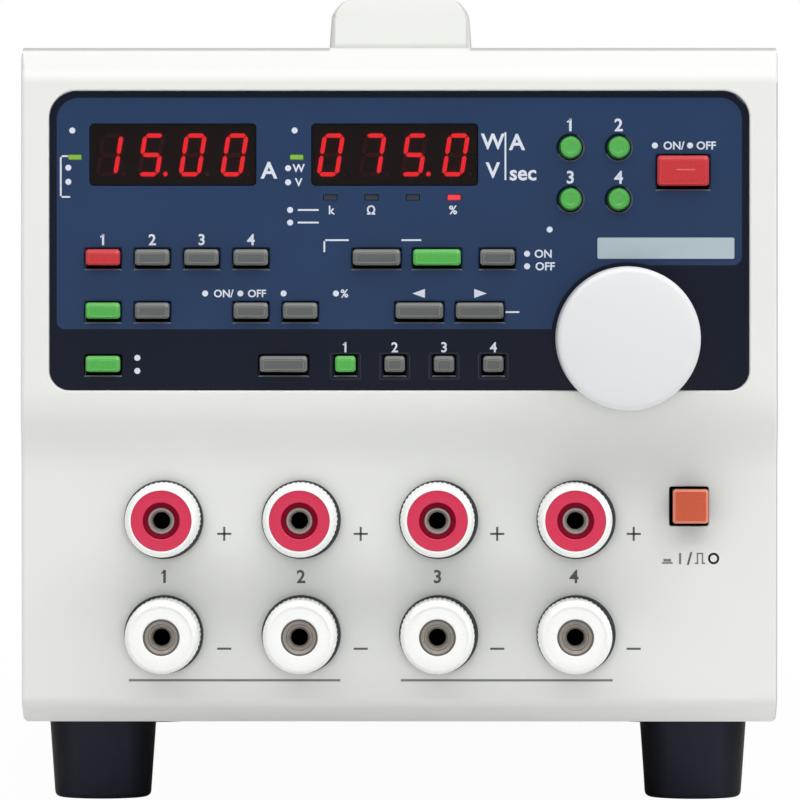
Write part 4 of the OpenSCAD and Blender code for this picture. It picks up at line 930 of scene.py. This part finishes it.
def overlay_prints():
    """The film's lines, dots, frames, figures and units."""
    thin = 0.34
    lines = path_strokes([(-66.0, 128.6), (-67.3, 128.6), (-67.3, 120.5), (-65.6, 120.5)], thin)
    lines += path_strokes([(-10.2, 111.9), (-14.9, 111.9), (-14.9, 109.7)], thin)
    lines += [stroke(0.6, 111.9, 4.2, 111.9, thin), stroke(21.3, 97.6, 23.7, 97.6, thin),
              stroke(-20.0, 117.9, -16.2, 117.9, thin), stroke(-20.0, 115.4, -16.2, 115.4, thin),
              stroke(21.1, 124.0, 21.1, 133.2, thin)]
    lines += [[(2.6, 101.3), (5.1, 102.2), (5.1, 100.4)], [(17.4, 101.3), (14.9, 100.4), (14.9, 102.2)]]
    printed("overlay_lines", lines, INK, OVERLAY, "overlay_film")
    printed("overlay_label_field", [box_outline(39.4, 108.2, 66.6, 112.4, 0.3)], SILVER_INK, OVERLAY,
            "overlay_film")
    printed("memory_key_frames", key_frames(), FRAME_INK, OVERLAY, "overlay_film")
    dots = [(-65.8, 126.3), (-65.8, 123.5), (-22.1, 126.2), (-22.1, 123.4), (-65.0, 133.7), (-20.8, 133.7),
            (-21.7, 117.9), (-21.7, 115.4), (50.8, 130.7), (57.8, 130.7), (25.4, 109.2), (25.4, 106.7),
            (-38.6, 101.3), (-31.6, 101.3), (-23.0, 101.3), (-12.6, 101.3), (-52.1, 88.5), (-52.1, 85.9),
            (29.9, 114.0)]
    grown("overlay_dots", [place(x, OVERLAY - 0.008, z) for x, z in dots], dot_tree(INK),
          {"Radius": 0.6 * MM, "Thickness": 0.03 * MM}, CASE)
    letters = [("A", -25.9, 125.8, 3.3), ("W", 18.6, 131.5, 3.1), ("V", 18.6, 125.8, 3.1),
               ("A", 23.4, 131.4, 3.2), ("sec", 24.6, 124.8, 3.0), ("W", -20.0, 126.2, 1.6),
               ("V", -20.0, 123.4, 1.6), ("k", -13.4, 117.9, 1.7), ("Ω", -5.6, 117.9, 1.7),
               ("%", 10.7, 117.9, 1.7), ("%", -10.9, 101.3, 1.6), ("ON/", -34.9, 101.3, 1.5),
               ("OFF", -28.3, 101.3, 1.5), ("ON/", 54.6, 130.7, 1.6), ("OFF", 61.0, 130.7, 1.6),
               ("ON", 28.6, 109.2, 1.6), ("OFF", 29.0, 106.7, 1.6)]
    for i, figure in enumerate("1234"):
        letters.append((figure, -10.7 + 9.8 * i, 90.6, 2.0))
        letters.append((figure, -58.9 + 9.8 * i, 112.0, 2.2))
        letters.append((figure, 34.0 + 9.6 * (i % 2), 134.8 - 10.4 * (i // 2), 2.5))
    lettering("overlay_figures", letters, INK, OVERLAY, "overlay_film")
    printed("overlay_flags", flags(letters), INK, OVERLAY, "overlay_film")


def terminal_prints():
    """The figures and signs on the bezel. Some lines under the posts and over the power button are paler."""
    soft = [stroke(-53.7, 24.2, -12.0, 24.2, 0.45), stroke(0.5, 24.2, 42.3, 24.2, 0.45)]
    soft += [stroke(52.48, 47.62, 54.28, 47.62, 0.35), stroke(52.9, 48.15, 53.86, 48.15, 0.55),
             stroke(55.94, 47.6, 55.94, 49.4, 0.45)]
    soft += path_strokes([(59.0, 47.55), (59.4, 47.55), (59.4, 49.5), (60.4, 49.5), (60.4, 47.55),
                          (60.8, 47.55)], 0.28)
    printed("terminal_soft_lines", soft, SOFT_INK, TERMINALS, "bezel_plastic")
    # A plus over each upper post and a minus over each lower one, and the posts' figures between them
    pitch, bold, arm, plus_z, minus_z = 27.2, 0.42, 1.2, 53.4, 30.5
    signs, figures = [], []
    for i in range(4):
        x = -34.9 + pitch * i
        signs += [stroke(x - arm, plus_z, x + arm, plus_z, bold),
                  stroke(x, plus_z - arm, x, plus_z - bold / 2, bold),
                  stroke(x, plus_z + bold / 2, x, plus_z + arm, bold),
                  stroke(x - arm, minus_z, x + arm, minus_z, bold)]
        figures.append((str(i + 1), -46.8 + pitch * i, 44.9, 2.6))
    printed("terminal_lines", signs, DARK_INK, TERMINALS, "bezel_plastic")
    figures.append(("/", 57.83, 48.5, 2.5))
    lettering("terminal_figures", figures, DARK_INK, TERMINALS, "bezel_plastic")
    ring = round_outline(62.62, 48.5, 0.9, 0.92, 32)
    printed("terminal_marks", flags(figures) + path_strokes(ring + ring[:1], 0.4), DARK_INK, TERMINALS,
            "bezel_plastic")


# The rest of the case


def power_button():
    """The cap, a little wider than its solid, with a paler bevel as painted highlight and black sides as
    painted shade.
    """
    bm = solid_of("power_button")
    face = min(depth_of(v.co) for v in bm.verts)
    solid_x, cap_x, wider, up = 57.7, 57.9, 1.04, 0.1
    for v in bm.verts:
        v.co.x = cap_x * MM + (v.co.x - solid_x * MM) * wider
        v.co.z += up * MM
    soften(bm, 0.45, lambda p: face + 0.1 < depth_of(p) < 9 and abs(depth_of(p) - face - 0.4) > 0.05, 4)
    soften(bm, 0.2, lambda p: depth_of(p) < face + 1, 3)
    # Deep faces are black as painted shade; the bevel takes a paler orange as painted highlight.
    shaded_black, bevel = 1, 2
    for f in bm.faces:
        if depth_of(f.calc_center_median()) > face + 1:
            f.material_index = shaded_black
        elif f.normal.y > -0.95:
            f.material_index = bevel
    stand_in("power_button", "power_button_cap", bm, BUTTON, "button_orange",
             extra=(SHADE_BLACK, BUTTON_BEVEL_HIGHLIGHT))


def feet():
    """A little wider than their solids, and moved to the left."""
    bm = solid_of("feet")
    for v in bm.verts:
        centre = math.copysign(FEET * MM, v.co.x)
        v.co.x = centre + (v.co.x - centre) * 1.012 - FEET_SHIFT * MM
    soften(bm, 0.15)
    stand_in("feet", "tapered_feet", bm, FOOT, "foot_plastic")


def handle_ends():
    """A little wider and higher than their solids, with lower corners, a flatter front, and greyer sides as
    painted shade.
    """
    bm = solid_of("handle_end_caps")
    wider, taller, droop, lean, flatten = 1.035, 0.09, 0.35, 0.13, 0.8
    for v in bm.verts:
        v.co.x *= wider
        up, corner = height_of(v.co), clamp((abs(v.co.x) / MM - 7.5) / 6.5)
        v.co.z += (max(up - TOP, 0) * taller - corner ** 2 * max(up - 156, 0) * droop) * MM
        up = height_of(v.co)
        if depth_of(v.co) < 54.5 and up > TOP + 0.5:
            front = 50 + lean * (up - TOP)
            v.co.y -= flatten * (depth_of(v.co) - front) * MM
    soften(bm, 1.05, lambda p: abs(p.x) > 13.2 * MM and height_of(p) < 158.5, 4)
    # Faces turned to the left and right get a greyer copy: painted shade on the sides.
    for f in bm.faces:
        f.material_index = int(abs(f.normal.x) > 0.28 and f.normal.y < -0.05)
    stand_in("handle_end_caps", "handle_ends", bm, HANDLE, "handle_plastic", extra=(HANDLE_SIDE_SHADE,))


def case():
    """The pieces that only need softer edges."""
    softened("handle_strap", "strap", STRAP, "strap_rubber", 0.6, segments=3)
    softened("top_cover", "cover", PAINT, "cover_paint", 0.12)
    softened("rear_panel", "rear_sheet", PAINT, "cover_paint", 0.12)
    softened("fasteners", "screws_and_nuts", ZINC, "zinc_steel", 0.08)
    softened("fan_frame", "fan_housing", PART_BLACK, "component_plastic", 0.2)
    softened("fan_rotor", "fan_blades", PART_BLACK, "component_plastic", 0.1)
    softened("encoder", "encoder_bush", ZINC, "zinc_steel", 0.1)
    softened("mains_inlet", "inlet_socket", PART_BLACK, "component_plastic", 0.2, extra=(NICKEL,),
             pick=lambda _, size: int(size.x < 5))
    softened("earth_stud", "earth_terminal", NICKEL, "nickel_brass", 0.2)


def inside():
    """Parts behind the panels keep their CAD shapes and get their materials."""
    looks = {"display_modules": MODULE, "control_board": BOARD, "key_switches": PART_BLACK,
             "power_switch": PART_BLACK, "base_chassis": ZINC, "heat_sink": ALUMINIUM,
             "load_transistors": PART_BLACK, "transformer": CORE, "main_board": BOARD}
    for node, look in looks.items():
        mesh = NODES[node].data
        mesh.materials.clear()
        mesh.materials.append(look)


# Light, floor and camera


def world():
    """White to the camera. For all else a studio that is dimmer in front, behind and on the left."""
    look = bpy.data.worlds.new("studio")
    bpy.context.scene.world = look
    look.use_nodes = True
    tree = look.node_tree
    tree.nodes.clear()
    way = add(tree, "ShaderNodeTexCoord").outputs["Generated"]
    split = add(tree, "ShaderNodeSeparateXYZ", {"Vector": way}).outputs
    level = 1.0
    for axis, low, high, first, last in (("Y", -0.92, -0.6, 0.14, 0.84), ("Z", -0.4, 0.9, 0.74, 0.98),
                                         ("Y", 0.0, 0.4, 1.0, 0.4), ("Y", 0.75, 0.96, 1.0, 0.12),
                                         ("X", -1.0, -0.7, 0.3, 1.0), ("X", 0.7, 1.0, 1.0, 1.3)):
        level = math_node(tree, "MULTIPLY", level, ramp(tree, split[axis], low, high, first, last))
    light = add(tree, "ShaderNodeBackground", {"Color": (1, 1, 1, 1), "Strength": level}).outputs[0]
    white = add(tree, "ShaderNodeBackground", {"Color": (1, 1, 1, 1), "Strength": 1.0}).outputs[0]
    seen = add(tree, "ShaderNodeLightPath").outputs["Is Camera Ray"]
    both = add(tree, "ShaderNodeMixShader", {0: seen, 1: light, 2: white}).outputs[0]
    add(tree, "ShaderNodeOutputWorld", {"Surface": both})


def area_light(name, position, aim, size, power):
    data = bpy.data.lights.new(name, "AREA")
    data.shape = "RECTANGLE"
    data.size, data.size_y = size
    data.energy = power
    lamp = linked(name, data)
    lamp.location = position
    lamp.rotation_euler = (Vector(aim) - Vector(position)).to_track_quat("-Z", "Y").to_euler()
    lamp.visible_camera = False


def paper():
    """A pale sweep that stays white to the camera, with a faint shadow under the part."""
    look, tree = empty_material("pale_paper")
    matt = add(tree, "ShaderNodeBsdfDiffuse", {"Color": (0.9, 0.9, 0.9, 1)}).outputs[0]
    bright = add(tree, "ShaderNodeBsdfDiffuse", {"Color": (1, 1, 1, 1)}).outputs[0]
    glow = add(tree, "ShaderNodeEmission", {"Color": (1, 1, 1, 1), "Strength": 1.0}).outputs[0]
    where = add(tree, "ShaderNodeTexCoord").outputs["Object"]
    away = add(tree, "ShaderNodeVectorMath", {0: where}, operation="LENGTH").outputs["Value"]
    near = ramp(tree, away, 0.2, 0.9, 0.03, 0.0)
    shown = add(tree, "ShaderNodeMixShader", {0: near, 1: glow, 2: bright}).outputs[0]
    seen = add(tree, "ShaderNodeLightPath").outputs["Is Camera Ray"]
    both = add(tree, "ShaderNodeMixShader", {0: seen, 1: matt, 2: shown}).outputs[0]
    add(tree, "ShaderNodeOutputMaterial", {"Surface": both})
    return look


def stage():
    """A wide floor just under the feet, the world and two lamps."""
    half_size, under = 12, 0.0002
    bm = bmesh.new()
    bmesh.ops.create_grid(bm, x_segments=1, y_segments=1, size=half_size)
    mesh = bpy.data.meshes.new("studio_floor")
    bm.to_mesh(mesh)
    bm.free()
    mesh.materials.append(paper())
    floor = linked("studio_floor", mesh)
    floor.location = (0, 0, -under)
    world()
    area_light("key_light", (0.2, -0.85, 1.3), (0, -0.19, 0.08), (3.4, 1.2), 15.8)
    area_light("top_light", (0.12, -0.52, 0.62), (0, -0.19, 0.12), (1.2, 0.35), 1.25)


def camera():
    """Stands 1.5 m in front of the bezel, a little to the right of the middle. A pixel of the picture is
    about 0.2 mm on the bezel's face."""
    distance, across, up = 1500, 8.1, 100
    aim_left, aim_down = 7.94702, 19.86755
    pixel, pixels, sensor = 0.19868, 800, 36
    data = bpy.data.cameras.new("camera")
    data.sensor_width = sensor
    data.lens = sensor * distance / (pixels * pixel)
    data.clip_end = 30
    view = linked("camera", data)
    view.location = place(across, -distance, up)
    aim = place(across - aim_left, 0, up - aim_down)
    view.rotation_euler = (aim - view.location).to_track_quat("-Z", "Y").to_euler()
    bpy.context.scene.camera = view


for build in (camera, stage, bezel, overlay, displays, lamps, keys, knob, posts, collars, overlay_prints,
              terminal_prints, power_button, feet, handle_ends, case, inside):
    build()
bpy.context.scene.view_settings.view_transform = "Standard"
